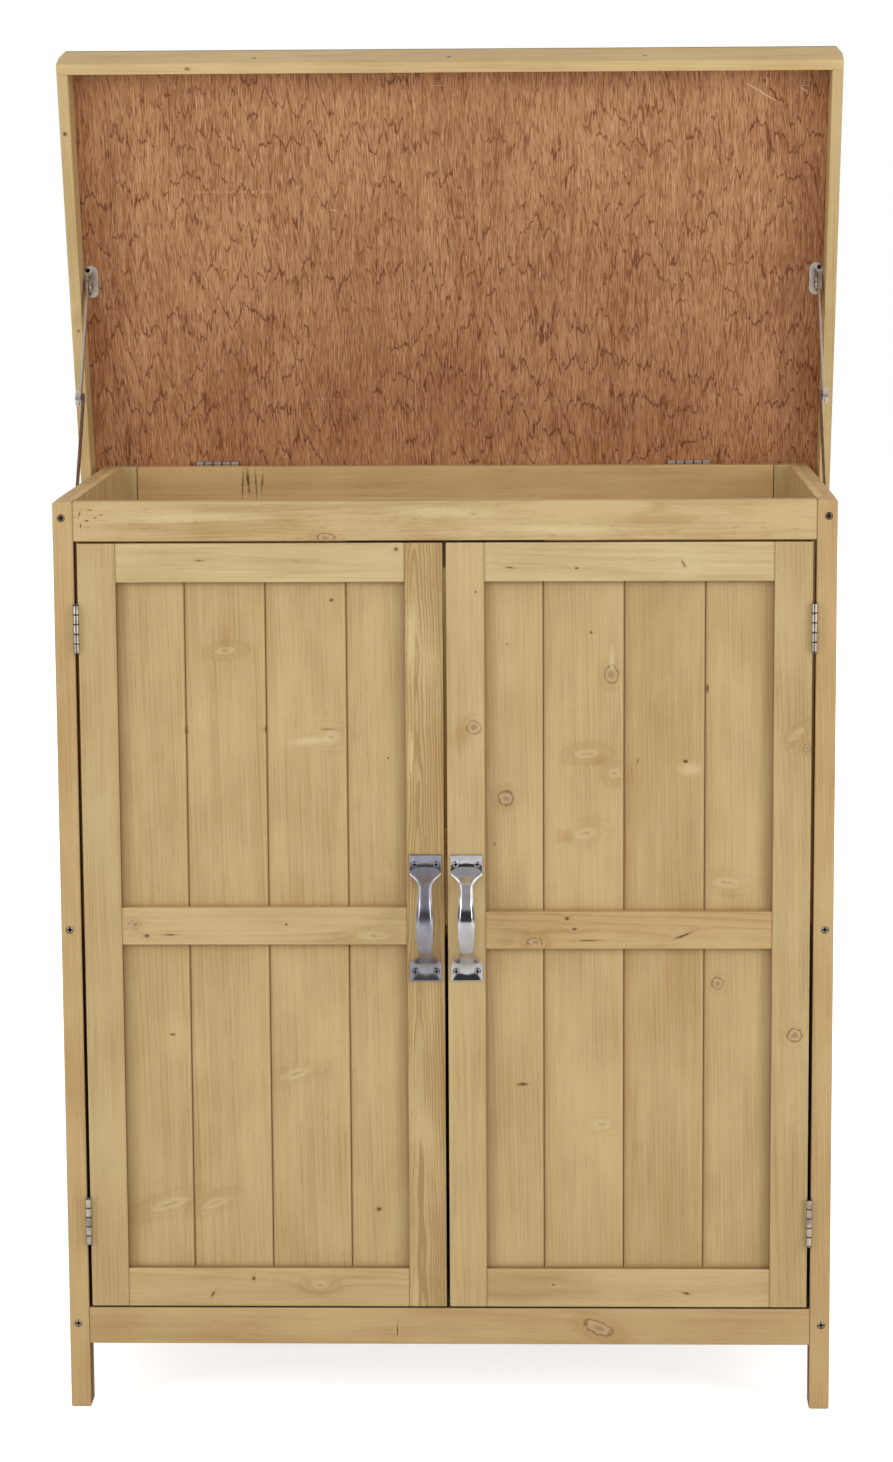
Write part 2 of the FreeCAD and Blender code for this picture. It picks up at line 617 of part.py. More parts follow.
# Handles
def bow_handle(name):
    """A bow pull, upright, with its back on the plane y = 0 and its bow towards the front."""
    body = doc.addObject("PartDesign::Body", name)
    profile = sketch_on(body, "YZ_Plane", name + "_profile")
    middle = number_of("handle_length / 2")
    corners = {
        "outer_low": ("-handle_foot_thickness", "handle_bow_inset"),
        "outer_high": ("-handle_foot_thickness", "handle_length - handle_bow_inset"),
        "top_front": ("-handle_foot_thickness", "handle_length"),
        "top_back": ("0", "handle_length"),
        "inner_high": ("0", "handle_length - handle_bow_inset - handle_bow_thickness"),
        "inner_low": ("0", "handle_bow_inset + handle_bow_thickness"),
        "bottom_back": ("0", "0"),
        "bottom_front": ("-handle_foot_thickness", "0"),
    }
    spots = {key: Vector(number_of(x), number_of(y), 0) for key, (x, y) in corners.items()}
    outer_crown = Vector(-number_of("handle_reach"), middle, 0)
    inner_crown = Vector(-number_of("bow_inner_rise"), middle, 0)
    order = list(corners)
    for index, key in enumerate(order):
        following = order[(index + 1) % len(order)]
        if key == "outer_low":
            curve = Part.Arc(spots[key], outer_crown, spots[following])
        elif key == "inner_high":
            curve = Part.Arc(spots[key], inner_crown, spots[following])
        else:
            curve = Part.LineSegment(spots[key], spots[following])
        profile.addGeometry(curve, False)
    # An arc keeps its own sense of turn, so its ends are matched by place and not by order
    ends = []
    for index, key in enumerate(order):
        start = profile.getPoint(index, 1)
        ends.append((1, 2) if (start - spots[key]).Length < 0.01 else (2, 1))
    for index, key in enumerate(order):
        following = (index + 1) % len(order)
        profile.addConstraint(
            Sketcher.Constraint("Coincident", index, ends[index][1], following, ends[following][0]))
        bind_point(profile, index, ends[index][0], *corners[key])
    for key, radius in (("outer_low", "bow_outer_radius"), ("inner_high", "bow_inner_radius")):
        size = Sketcher.Constraint("Radius", order.index(key), number_of(radius))
        place = profile.addConstraint(size)
        profile.setExpression(f"Constraints[{place}]", link(radius))
    pad = body.newObject("PartDesign::Pad", name + "_pad")
    pad.Profile = profile
    pad.Midplane = True
    pad.setExpression("Length", link("handle_width"))
    doc.recompute()

    waists = sketch_on(body, "XZ_Plane", name + "_waists")
    for side in (-1, 1):
        first = waists.GeometryCount
        neck = f"{side} * handle_neck_width / 2"
        outside = f"{side} * handle_width"
        low = "handle_foot_height"
        high = "handle_length - handle_foot_height"
        spots = [Vector(number_of(x), number_of(y), 0)
                 for x, y in ((neck, low), (neck, high), (outside, high), (outside, low))]
        crown = Vector(number_of(f"{side} * (handle_neck_width / 2 + handle_waist_bulge)"), middle, 0)
        waists.addGeometry(Part.Arc(spots[0], crown, spots[1]), False)
        for index in (1, 2, 3):
            waists.addGeometry(Part.LineSegment(spots[index], spots[(index + 1) % 4]), False)
        start = waists.getPoint(first, 1)
        near, far = (1, 2) if (start - spots[0]).Length < 0.01 else (2, 1)
        waists.addConstraint(Sketcher.Constraint("Coincident", first, far, first + 1, 1))
        waists.addConstraint(Sketcher.Constraint("Coincident", first + 1, 2, first + 2, 1))
        waists.addConstraint(Sketcher.Constraint("Coincident", first + 2, 2, first + 3, 1))
        waists.addConstraint(Sketcher.Constraint("Coincident", first + 3, 2, first, near))
        bind_point(waists, first, near, neck, low)
        bind_point(waists, first, far, neck, high)
        bind_point(waists, first + 2, 1, outside, high)
        bind_point(waists, first + 3, 1, outside, low)
        place = waists.addConstraint(Sketcher.Constraint("Radius", first, number_of("waist_radius")))
        waists.setExpression(f"Constraints[{place}]", link("waist_radius"))
    pocket = body.newObject("PartDesign::Pocket", name + "_waist_cut")
    pocket.Profile = waists
    pocket.Type = "ThroughAll"
    pocket.Midplane = True
    doc.recompute()
    return body


# Doors
for side_name, side in SIDES:
    near_edge = "door_inner_edge"
    hinge_side = inwards(side, "door_outer_edge", "stile_width")
    free_side = "-(door_inner_edge + stile_width)" if side < 0 else near_edge
    inner_start = "stile_width - door_outer_edge" if side < 0 else "door_inner_edge + stile_width"
    handle_line = f"{side} * (door_inner_edge + stile_width / 2)"
    handle_low = "handle_centre_lift - handle_length / 2"

    holes = []
    screws = []
    for end_name, lift in (
        ("low", f"{handle_low} + handle_foot_height / 2"),
        ("high", f"{handle_low} + handle_length - handle_foot_height / 2"),
    ):
        for hand_name, hand in SIDES:
            across = f"{handle_line} + {hand} * handle_screw_inset"
            label = f"{side_name}_handle_{end_name}_{hand_name}"
            screws.append(screw(label + "_screw", across,
                                "front - handle_foot_thickness - handle_screw_head_length", lift, ALONG_Y,
                                "handle_screw_head_radius", "handle_screw_head_length",
                                "handle_screw_radius", "handle_foot_thickness + handle_screw_length"))
            holes.append(cylinder(label + "_hole", across, "front - handle_foot_thickness - 1", lift,
                                  "handle_screw_radius + drill_clearance",
                                  "handle_foot_thickness + handle_screw_length + 1 + drill_clearance", ALONG_Y))

    keep(f"{side_name}_door_hinge_stile",
         timber(f"{side_name}_door_hinge_stile", hinge_side, "front", "door_bottom",
                "stile_width", "door_thickness", "door_height"))
    blank = timber(f"{side_name}_door_free_stile_blank", free_side, "front", "door_bottom",
                   "stile_width", "door_thickness", "door_height")
    keep(f"{side_name}_door_free_stile", without(f"{side_name}_door_free_stile", blank, holes))
    keep(f"{side_name}_door_top_rail",
         timber(f"{side_name}_door_top_rail", inner_start, "front", "door_top - door_top_rail_height",
                "door_room", "door_thickness", "door_top_rail_height"))
    keep(f"{side_name}_door_bottom_rail",
         timber(f"{side_name}_door_bottom_rail", inner_start, "front", "door_bottom",
                "door_room", "door_thickness", "door_bottom_rail_height"))
    keep(f"{side_name}_door_middle_rail",
         timber(f"{side_name}_door_middle_rail", inner_start, "front",
                f"{side_name}_middle_rail_centre - door_middle_rail_height / 2",
                "door_room", "board_recess", "door_middle_rail_height"))
    boards_low = "(door_bottom + door_bottom_rail_height)"
    boards_height = "(door_height - door_bottom_rail_height - door_top_rail_height)"
    if side < 0:
        grid = "-first_groove_inset - ceil((door_outer_edge - first_groove_inset) / board_cover) * board_cover"
    else:
        grid = "first_groove_inset"
    keep(f"{side_name}_door_boards",
         tongue_boards(f"{side_name}_door_boards", (grid, "front + board_recess", boards_low), ALONG_Z,
                       boards_height, "door_outer_edge - first_groove_inset",
                       (inner_start, "front + board_recess", boards_low,
                        "door_room", "board_thickness", boards_height)))

    handle = put(bow_handle(f"{side_name}_handle_bow"), handle_line, "front", handle_low)
    keep(f"{side_name}_handle", without(f"{side_name}_handle", handle, holes))
    keep(f"{side_name}_handle_screws", together(f"{side_name}_handle_screws", screws))
    keep(f"{side_name}_strike_plate",
         block(f"{side_name}_strike_plate", f"{handle_line} - strike_length / 2", "front + door_thickness",
               "body_height - block_height - catch_height / 2 - strike_height / 2",
               "strike_length", "strike_thickness", "strike_height"))

    frame_leaves = []
    moving_leaves = []
    pins = []
    mirror = ALONG_Z if side < 0 else Rotation(Vector(0, 1, 0), 180)
    for row_name, lift in (("upper", "door_top - upper_hinge_drop"), ("lower", "door_bottom + lower_hinge_rise")):
        parts = butt_hinge(f"{side_name}_{row_name}_hinge", "barrel_radius", "door_side_gap / 2", "leaf_width")
        for part, where in zip(parts, (frame_leaves, moving_leaves, pins)):
            where.append(put(part, f"{side} * door_axis", "front - barrel_lift", lift, mirror))
    keep(f"{side_name}_door_frame_leaves", together(f"{side_name}_door_frame_leaves", frame_leaves))
    keep(f"{side_name}_door_moving_leaves", together(f"{side_name}_door_moving_leaves", moving_leaves))
    keep(f"{side_name}_door_hinge_pins", together(f"{side_name}_door_hinge_pins", pins))


# Lid: its pieces are laid out closed, from the hinge axis, and then opened together
def opened(label, shapes):
    """Carry pieces of the closed lid to the open lid, turned about the hinge axis."""
    group = together(label, shapes)
    put(group, "0", "axis_depth", "axis_height", Rotation(Vector(-1, 0, 0), 1))
    group.setExpression("Placement.Rotation.Angle", link("lid_open_angle * 1deg"))
    return keep(label, group)


lid_half = "(lid_width / 2)"
apron_low = "(lid_axis_setback + lid_panel_thickness - apron_height)"
apron_top = "(lid_axis_setback + lid_panel_thickness)"
panel_depth = "(lid_reach - apron_thickness + lid_overhang)"
# Brackets under the lid, each with the pin of an upper arm and two screws into the panel
bracket_width = "(apron_inside - stay_bracket_room - stay_arm_start)"
bracket_top = "(lid_axis_setback - plate_thickness)"
ear_drop = "(stay_lid_pivot_drop + stay_ear_width / 2 + lid_axis_setback)"
lid_pin_length = "(2 * arm_thickness + arm_gap + stay_pin_clearance)"
spacer_length = "(arm_thickness + arm_gap - knuckle_gap)"
lid_fasteners = []
bracket_holes = []
for side_name, side in SIDES:
    plate = block(f"{side_name}_lid_bracket_sheet", sideways(side, "stay_arm_start", bracket_width),
                  "-stay_lid_pivot_reach - stay_bracket_length / 2", bracket_top,
                  bracket_width, "stay_bracket_length", "plate_thickness")
    ear = block(f"{side_name}_lid_bracket_ear", sideways(side, "stay_arm_start", "stay_ear_thickness"),
                "-stay_lid_pivot_reach - stay_ear_width / 2", f"lid_axis_setback - {ear_drop}",
                "stay_ear_thickness", "stay_ear_width", ear_drop)
    shapes = [plate, ear]
    for part_name, start, radius, length in (
        ("pin", "stay_arm_start", "stay_pin_radius", lid_pin_length),
        ("spacer", "stay_arm_start", "stay_head_radius", spacer_length),
        ("head", f"stay_arm_start + {lid_pin_length}", "stay_head_radius", "stay_head_length"),
    ):
        shapes.append(cylinder(f"{side_name}_lid_pin_{part_name}", sideways(side, start, length),
                               "-stay_lid_pivot_reach", "-stay_lid_pivot_drop", radius, length, ALONG_X))
    holes = []
    for end_name, end in (("front", -1), ("back", 1)):
        spot = (f"{side} * (stay_arm_start + {bracket_width} / 2 + stay_ear_thickness / 2)",
                f"{end} * (stay_bracket_length / 2 - stay_screw_margin) - stay_lid_pivot_reach",
                bracket_top)
        for kind, room, where in (("screw", "0", lid_fasteners), ("hole", "drill_clearance", holes)):
            where.append(screw(f"{side_name}_lid_bracket_{end_name}_{kind}", *spot, ALONG_Z,
                               "stay_screw_head_radius", "stay_screw_head_length", "stay_screw_radius",
                               "plate_thickness + lid_panel_thickness / 2", room))
    bracket_holes += holes
    opened(f"stay_lid_bracket_{side_name}",
           [without(f"{side_name}_lid_bracket", fused(f"{side_name}_lid_bracket_solid", shapes), holes)])

# Lid panel, its weatherproof sheet and the aprons round it
panel_blank = timber("lid_panel_blank", "-apron_inside", "apron_thickness - lid_reach", "lid_axis_setback",
                     "2 * apron_inside", panel_depth, "lid_panel_thickness")
opened("lid_panel", [without("lid_panel_drilled", panel_blank, bracket_holes)])
opened("lid_covering",
       [block("lid_covering_closed", f"lid_covering_inset - {lid_half}", "-lid_reach", apron_top,
              f"2 * ({lid_half} - lid_covering_inset)", "lid_reach + lid_overhang", "lid_covering_thickness")])
for side_name, side in SIDES:
    opened(f"lid_side_apron_{side_name}",
           [timber(f"{side_name}_side_apron_closed", inwards(side, lid_half, "apron_thickness"),
                   "apron_thickness - lid_reach", apron_low,
                   "apron_thickness", panel_depth, "apron_height")])

apron_corners = [
    (f"-{lid_half}", apron_low),
    (lid_half, apron_low),
    (lid_half, f"{apron_top} - apron_corner_drop"),
    (f"{lid_half} - apron_corner_inset", apron_top),
    (f"apron_corner_inset - {lid_half}", apron_top),
    (f"-{lid_half}", f"{apron_top} - apron_corner_drop"),
]
front_apron, apron_pad = padded("front_apron_blank", "XZ_Plane", apron_corners, "apron_thickness")
apron_rounding = front_apron.newObject("PartDesign::Fillet", "front_apron_easing")
apron_rounding.Base = (apron_pad, [""])
apron_rounding.UseAllEdges = True
apron_rounding.setExpression("Radius", link("edge_easing"))
put(front_apron, "0", "apron_thickness - lid_reach", "0")
nail_holes = []
for index in (-1, 0, 1):
    for kind, room, where in (("nail", "0", lid_fasteners), ("hole", "drill_clearance", nail_holes)):
        where.append(screw(f"apron_{kind}_{index + 1}", f"{index} * nail_spacing", "-lid_reach",
                           f"{apron_top} - nail_drop", ALONG_Y, "nail_head_radius", "nail_head_length",
                           "nail_radius", "nail_length", room))
opened("lid_front_apron", [without("front_apron_drilled", front_apron, nail_holes)])
opened("lid_fasteners", lid_fasteners)

# Lid hinges: the frame leaf hangs on the outside of the back, the moving leaf lies under the overhang
DOWN_THE_BACK = Rotation(Vector(0, 1, 0), Vector(0, 0, -1), Vector(-1, 0, 0), "ZXY")
UNDER_THE_LID = Rotation(Vector(0, 0, 1), Vector(0, 1, 0), Vector(-1, 0, 0), "ZXY")
lid_frame_leaves = []
lid_moving_leaves = []
lid_pins = []
for side_name, across in (("left", "-lid_hinge_left"), ("right", "lid_hinge_right")):
    frame_leaf, moving_leaf, pin = butt_hinge(f"{side_name}_lid_hinge", "lid_barrel_radius",
                                              "lid_axis_setback", "lid_leaf_width")
    lid_frame_leaves.append(put(frame_leaf, across, "axis_depth", "axis_height", DOWN_THE_BACK))
    lid_moving_leaves.append(put(moving_leaf, across, "0", "0", UNDER_THE_LID))
    lid_pins.append(put(pin, across, "axis_depth", "axis_height", DOWN_THE_BACK))
keep("lid_frame_leaves", together("lid_frame_leaves", lid_frame_leaves))
opened("lid_moving_leaves", lid_moving_leaves)
keep("lid_hinge_pins", together("lid_hinge_pins", lid_pins))


# Folding stays, one on each side
def arm(name, start, length, extra):
    """A flat arm with round ends from a pivot at the origin along +Y, in its own plane across X."""
    reach = [block(name + "_bar", start, "0", "-arm_width / 2", "arm_thickness", length, "arm_width")]
    for end_name, spot in (("near", "0"), ("far", length)):
        reach.append(cylinder(f"{name}_{end_name}_end", start, spot, "0", "arm_width / 2",
                              "arm_thickness", ALONG_X))
    bore = cylinder(name + "_bore", f"({start}) - arm_thickness", "0", "0",
                    "stay_pin_radius + stay_pin_clearance", "3 * arm_thickness", ALONG_X)
    return without(name, fused(name + "_solid", reach + extra), [bore])


for side_name, side in SIDES:
    lower_end = "stay_arm_start + arm_thickness"
    washer = cylinder(f"{side_name}_elbow_washer", sideways(side, lower_end, "elbow_washer_length"),
                      "lower_arm_length", "0", "elbow_washer_radius", "elbow_washer_length", ALONG_X)
    lower = arm(f"{side_name}_lower_arm", sideways(side, "stay_arm_start", "arm_thickness"),
                "lower_arm_length", [washer])
    put(lower, "0", "side_pivot_depth", "side_pivot_height", Rotation(Vector(1, 0, 0), 1))
    lower.setExpression("Placement.Rotation.Angle", link("stay_open_angle * 1deg"))
    keep(f"stay_lower_arm_{side_name}", lower)

    drum = cylinder(f"{side_name}_elbow_drum",
                    sideways(side, "stay_outer_arm_start + arm_thickness", "elbow_length"),
                    "upper_arm_length", "0", "elbow_radius", "elbow_length", ALONG_X)
    upper = arm(f"{side_name}_upper_arm", sideways(side, "stay_outer_arm_start", "arm_thickness"),
                "upper_arm_length", [drum])
    put(upper, "0", "lid_pivot_depth", "lid_pivot_height", Rotation(Vector(1, 0, 0), 1))
    upper.setExpression("Placement.Rotation.Angle", link("(stay_open_angle + 180) * 1deg"))
    keep(f"stay_upper_arm_{side_name}", upper)

doc.recompute()
failed = [thing.Label for thing in doc.Objects if "Invalid" in thing.State or "Error" in thing.State]
if failed:
    raise RuntimeError("these objects failed: " + ", ".join(failed))
for piece in pieces:
    if piece.Shape.isNull() or not piece.Shape.isValid():
        raise RuntimeError("no sound shape for " + piece.Label)

os.makedirs("parts", exist_ok=True)
for piece in pieces:
    piece.Shape.exportStep(os.path.join("parts", piece.Label + ".step"))
    box = piece.Shape.BoundBox
    print(f"{piece.Label}: {len(piece.Shape.Solids)} solids, {piece.Shape.Volume / 1000:.2f} cm3, "
          f"x {box.XMin:.1f} to {box.XMax:.1f}, y {box.YMin:.1f} to {box.YMax:.1f}, "
          f"z {box.ZMin:.1f} to {box.ZMax:.1f}")
print(len(pieces), "pieces")
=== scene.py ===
# %% [markdown]
# # A garden storage cabinet
#
# The cabinet is a frame of planed spruce on four feet, with two boarded doors, a boarded back and
# sides, and a lid that lifts at the front and is held by two folding stays. The solids come from the
# CAD model and stay where they are. This lesson gives them their finishes, makes the castings and
# screws that deserve finer shapes, and sets up the studio.

# %% Load the frame
import math

import bmesh
import bpy
from mathutils import Matrix, Vector


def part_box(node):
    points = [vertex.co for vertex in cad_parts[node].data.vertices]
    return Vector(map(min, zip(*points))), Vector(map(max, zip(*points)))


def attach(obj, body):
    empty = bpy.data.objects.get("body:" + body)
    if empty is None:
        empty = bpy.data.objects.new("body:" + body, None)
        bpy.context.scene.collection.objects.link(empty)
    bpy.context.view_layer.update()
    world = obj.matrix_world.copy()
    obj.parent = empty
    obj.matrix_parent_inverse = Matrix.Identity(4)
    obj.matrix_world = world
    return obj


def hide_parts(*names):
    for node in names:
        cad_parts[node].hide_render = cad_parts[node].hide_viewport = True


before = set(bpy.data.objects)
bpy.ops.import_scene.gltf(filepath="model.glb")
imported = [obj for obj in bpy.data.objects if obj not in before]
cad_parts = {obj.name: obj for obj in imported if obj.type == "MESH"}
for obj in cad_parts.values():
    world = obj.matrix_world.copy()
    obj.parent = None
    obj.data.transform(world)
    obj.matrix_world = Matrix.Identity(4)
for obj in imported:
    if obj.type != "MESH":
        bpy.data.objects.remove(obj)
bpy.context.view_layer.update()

# %% [markdown]
# Timber is thought of in millimetres, while Blender's unit here is the metre, so one name keeps the
# two apart. Colours are given on the usual scale from 0 to 255 and are turned into linear light once,
# here, because that is what the renderer mixes.

# %% Units and colours
MM = 0.001
X, Y, Z = Vector((1, 0, 0)), Vector((0, 1, 0)), Vector((0, 0, 1))


def paint(red, green, blue):
    """A colour on the scale from 0 to 255, as linear light with full cover."""
    parts = [part / 255 for part in (red, green, blue)]
    # The usual curve of pictures: a short straight part near black, then a power.
    linear = [((part + 0.055) / 1.055) ** 2.4 if part > 0.04045 else part / 12.92 for part in parts]
    return (*linear, 1.0)


def toned(colour, factor):
    """The same colour made lighter or darker, each part by its own factor or all by one."""
    factors = factor if isinstance(factor, tuple) else (factor,) * 3
    return tuple(part * share for part, share in zip(colour, factors)) + (1.0,)


# %% [markdown]
# Every finish below is worked out from the place of a point in the wood. Writing that as node trees
# by hand hides the idea, so one small class stands for whatever comes out of a socket, and adding or
# multiplying two of them adds the Math node that does it. Colours and directions go through Mix and
# Vector Math nodes instead, because a Math node would turn them grey.

# %% Values that flow through a finish
class Flow:
    """A value, direction or colour that comes out of one socket."""

    def __init__(self, nodes, socket):
        self.nodes = nodes
        self.socket = socket

    def math(self, operation, *others):
        return self.nodes.math(operation, self, *others)

    def clamped(self):
        return self.math("MAXIMUM", 0.0).math("MINIMUM", 1.0)

    def bell(self):
        """Highest where the value is 0, falling off softly to both sides."""
        return (self * self * -1.0).math("EXPONENT")

    def __add__(self, other):
        return self.math("ADD", other)

    def __radd__(self, other):
        return self.nodes.math("ADD", other, self)

    def __sub__(self, other):
        return self.math("SUBTRACT", other)

    def __rsub__(self, other):
        return self.nodes.math("SUBTRACT", other, self)

    def __mul__(self, other):
        return self.math("MULTIPLY", other)

    def __rmul__(self, other):
        return self.nodes.math("MULTIPLY", other, self)

    def __truediv__(self, other):
        return self.math("DIVIDE", other)

    def __pow__(self, other):
        return self.math("POWER", other)

    def __abs__(self):
        return self.math("ABSOLUTE")

    def along(self, direction):
        """How far a direction's flow reaches along one fixed direction."""
        return self.nodes.add("ShaderNodeVectorMath", {"operation": "DOT_PRODUCT"},
                               {0: self, 1: tuple(direction)}, "Value")

    def length(self):
        """How long a direction's flow is."""
        return self.nodes.add("ShaderNodeVectorMath", {"operation": "LENGTH"}, {0: self}, "Value")

    def step(self, start, end):
        """A soft step: 0 up to start, 1 from end on, or the other way round."""
        return self.nodes.add("ShaderNodeMapRange", {"interpolation_type": "SMOOTHSTEP"},
                               {"Value": self, "From Min": start, "From Max": end})


# %% [markdown]
# One method adds any node to a tree: the node's kind, its settings, and then a number, a colour or a
# flow for each of its sockets. The few nodes that every finish needs get a short name of their own.

# %% Node trees
class Nodes:
    """A node tree that is built up from code."""

    def __init__(self, tree):
        self.tree = tree

    def add(self, kind, settings=None, values=None, out=0):
        node = self.tree.nodes.new(kind)
        for name, setting in (settings or {}).items():
            if name == "stops":
                self.set_stops(node.color_ramp, setting)
            else:
                setattr(node, name, setting)
        for name, value in (values or {}).items():
            self.feed(node.inputs[name], value)
        return Flow(self, node.outputs[out])

    def feed(self, socket, value):
        if isinstance(value, Flow):
            self.tree.links.new(value.socket, socket)
        else:
            socket.default_value = value

    def set_stops(self, ramp, stops):
        while len(ramp.elements) < len(stops):
            ramp.elements.new(1.0)
        for element, (position, height) in zip(ramp.elements, stops):
            element.position = position
            element.color = (height, height, height, 1.0)

    def math(self, operation, *values):
        return self.add("ShaderNodeMath", {"operation": operation}, dict(enumerate(values)))

    def mix(self, share, first, second):
        """Two colours mixed, with the given share of the second."""
        return self.add("ShaderNodeMix", {"data_type": "RGBA"}, {0: share, 6: first, 7: second}, 2)

    def rays(self):
        """Whether light is seen by the camera, mirrored by metal, or seen through something clear."""
        return [self.add("ShaderNodeLightPath", out=kind)
                for kind in ("Is Camera Ray", "Is Glossy Ray", "Is Transmission Ray")]

    def place(self):
        """The place in the solid, in millimetres. It moves with the piece."""
        here = self.add("ShaderNodeTexCoord", out="Object")
        return self.add("ShaderNodeVectorMath", {"operation": "SCALE"}, {0: here, "Scale": 1 / MM})

    def point(self, x, y, z):
        return self.add("ShaderNodeCombineXYZ", values={0: x, 1: y, 2: z})

    def noise(self, point, size, detail=2.0, seed=0.0):
        """Smooth noise from 0 to 1 whose lumps are about size millimetres across."""
        moved = self.add("ShaderNodeVectorMath", {"operation": "ADD"},
                         {0: point, 1: (97.0 * seed, 61.0 * seed, 43.0 * seed)})
        return self.add("ShaderNodeTexNoise",
                        values={"Vector": moved, "Scale": 1 / size, "Detail": detail})

    def bump(self, height, strength, distance):
        return self.add("ShaderNodeBump",
                        values={"Height": height, "Strength": strength, "Distance": distance})


# %% [markdown]
# A finish is one material: a tree of nodes that ends in the Principled shader it starts with.

# %% Finish
class Finish(Nodes):
    """A material that is built up node by node around its Principled shader."""

    def __init__(self, name):
        self.material = bpy.data.materials.new(name)
        self.material.use_nodes = True
        super().__init__(self.material.node_tree)
        self.shader = self.tree.nodes["Principled BSDF"]

    def surface(self, **values):
        """Set or link the Principled shader's own sockets, written with underscores for spaces."""
        for name, value in values.items():
            self.feed(self.shader.inputs[name.replace("_", " ")], value)
        return self.material


# %% [markdown]
# The camera stands where the photograph was taken: about four metres in front, a little to the right
# of the middle, well above the doors and looking down by nine degrees with a long lens. The aim is
# worked out as three directions, so that the small roll of the picture is in it as well.

# %% Camera
PICTURE_HEIGHT = 1462
FOCAL_PIXELS = 3680.5
SENSOR = 36.0
EYE = Vector((0.10705, -3.9581, 1.2963))
yaw, pitch, roll = (math.radians(angle) for angle in (-1.62, 8.72, -0.34))

ahead = Vector((math.sin(yaw) * math.cos(pitch), math.cos(yaw) * math.cos(pitch), -math.sin(pitch)))
level = Vector((math.cos(yaw), -math.sin(yaw), 0.0))
upward = level.cross(ahead)
right = math.cos(roll) * level + math.sin(roll) * upward
top = math.cos(roll) * upward - math.sin(roll) * level

camera_data = bpy.data.cameras.new("camera")
camera_data.sensor_fit = "VERTICAL"
camera_data.sensor_height = SENSOR
camera_data.lens = FOCAL_PIXELS / PICTURE_HEIGHT * SENSOR
camera_data.clip_end = 50.0
camera = bpy.data.objects.new("camera", camera_data)
camera.matrix_world = Matrix.Translation(EYE) @ Matrix((right, top, -ahead)).transposed().to_4x4()
bpy.context.scene.collection.objects.link(camera)
bpy.context.scene.camera = camera
bpy.context.scene.view_settings.view_transform = "Standard"
print("camera at", tuple(EYE), "with a lens of", round(camera_data.lens, 1), "mm")

# %% [markdown]
# The studio is a pale floor and even, soft light: a large lamp over the front and one over the back,
# a tall one at each side, and a sky that fills the shadows. The camera sees the sky as plain white.
# Shiny metal sees it white as well, but in front of the cabinet, where a real studio has its camera
# and its dark end, it sees a dark band low down, grey above that and bright panels to the sides.
# Chrome has no colour of its own, so this is what draws the stripes on the handles. A direction's
# reach along an axis runs from -1 to 1, and the steps below are limits on that scale.


# %% World
def studio_sky(strength, from_above, dark_end, grey_ceiling, panel_glow):
    """White to the camera, soft light from above on the wood, and a studio in the reflections."""
    world = bpy.data.worlds.new("studio sky")
    world.use_nodes = True
    tree = world.node_tree
    tree.nodes.clear()
    sky = Nodes(tree)
    to_camera, to_metal, to_glass = sky.rays()
    direction = sky.add("ShaderNodeTexCoord", out="Generated")
    in_front = direction.along(-Y).step(-0.2, 0.1)
    height = direction.along(Z)
    sideways = abs(direction.along(X)).step(0.3, 0.6)
    dark = in_front * height.step(0.36, 0.2) * dark_end
    grey = in_front * sky.math("MAXIMUM", 1.0 - sideways, height.step(0.78, 0.92)) * grey_ceiling
    panels = 1.0 + in_front * sideways * panel_glow
    shiny = sky.math("MAXIMUM", to_metal, to_glass) * (1.0 - dark) * (1.0 - grey) * panels
    lit = height.step(0.1, 0.9) * from_above + strength
    brightness = sky.math("MAXIMUM", sky.math("MAXIMUM", to_camera, shiny), (1.0 - to_metal) * lit)
    light = sky.add("ShaderNodeBackground", values={"Color": (1, 1, 1, 1), "Strength": brightness})
    tree.links.new(light.socket, tree.nodes.new("ShaderNodeOutputWorld").inputs["Surface"])
    return world


bpy.context.scene.world = studio_sky(0.36, from_above=0.45, dark_end=0.88, grey_ceiling=0.6,
                                     panel_glow=0.7)

# %% Lamps
LAMPS = (
    # name, place, height it points at, width, height, power, whether metal sees it
    ("front softbox", (-0.4, -4.4, 2.6), 0.75, 3.0, 2.0, 34, False),
    ("left softbox", (-3.0, -2.2, 1.5), 0.7, 1.1, 2.2, 34, True),
    ("right softbox", (3.0, -2.2, 1.5), 0.7, 1.1, 2.2, 42, True),
    ("back softbox", (0.6, 4.4, 2.4), 0.75, 3.0, 2.0, 70, False),
)


def softbox(name, place, target_height, width, height, power, in_reflections):
    lamp = bpy.data.lights.new(name, "AREA")
    lamp.shape = "RECTANGLE"
    lamp.size = width
    lamp.size_y = height
    lamp.energy = power
    holder = bpy.data.objects.new(name, lamp)
    holder.location = place
    holder.rotation_euler = (Z * target_height - Vector(place)).to_track_quat("-Z", "Y").to_euler()
    holder.visible_glossy = in_reflections
    bpy.context.scene.collection.objects.link(holder)


for lamp in LAMPS:
    softbox(*lamp)

# %% Floor
FLOOR_REACH = 9.0
FLOOR_GLOW = 0.78
REFLECTED_GLOW = 0.1
DARK_END_STARTS, DARK_END_IS_FULL = -3500.0, -3900.0


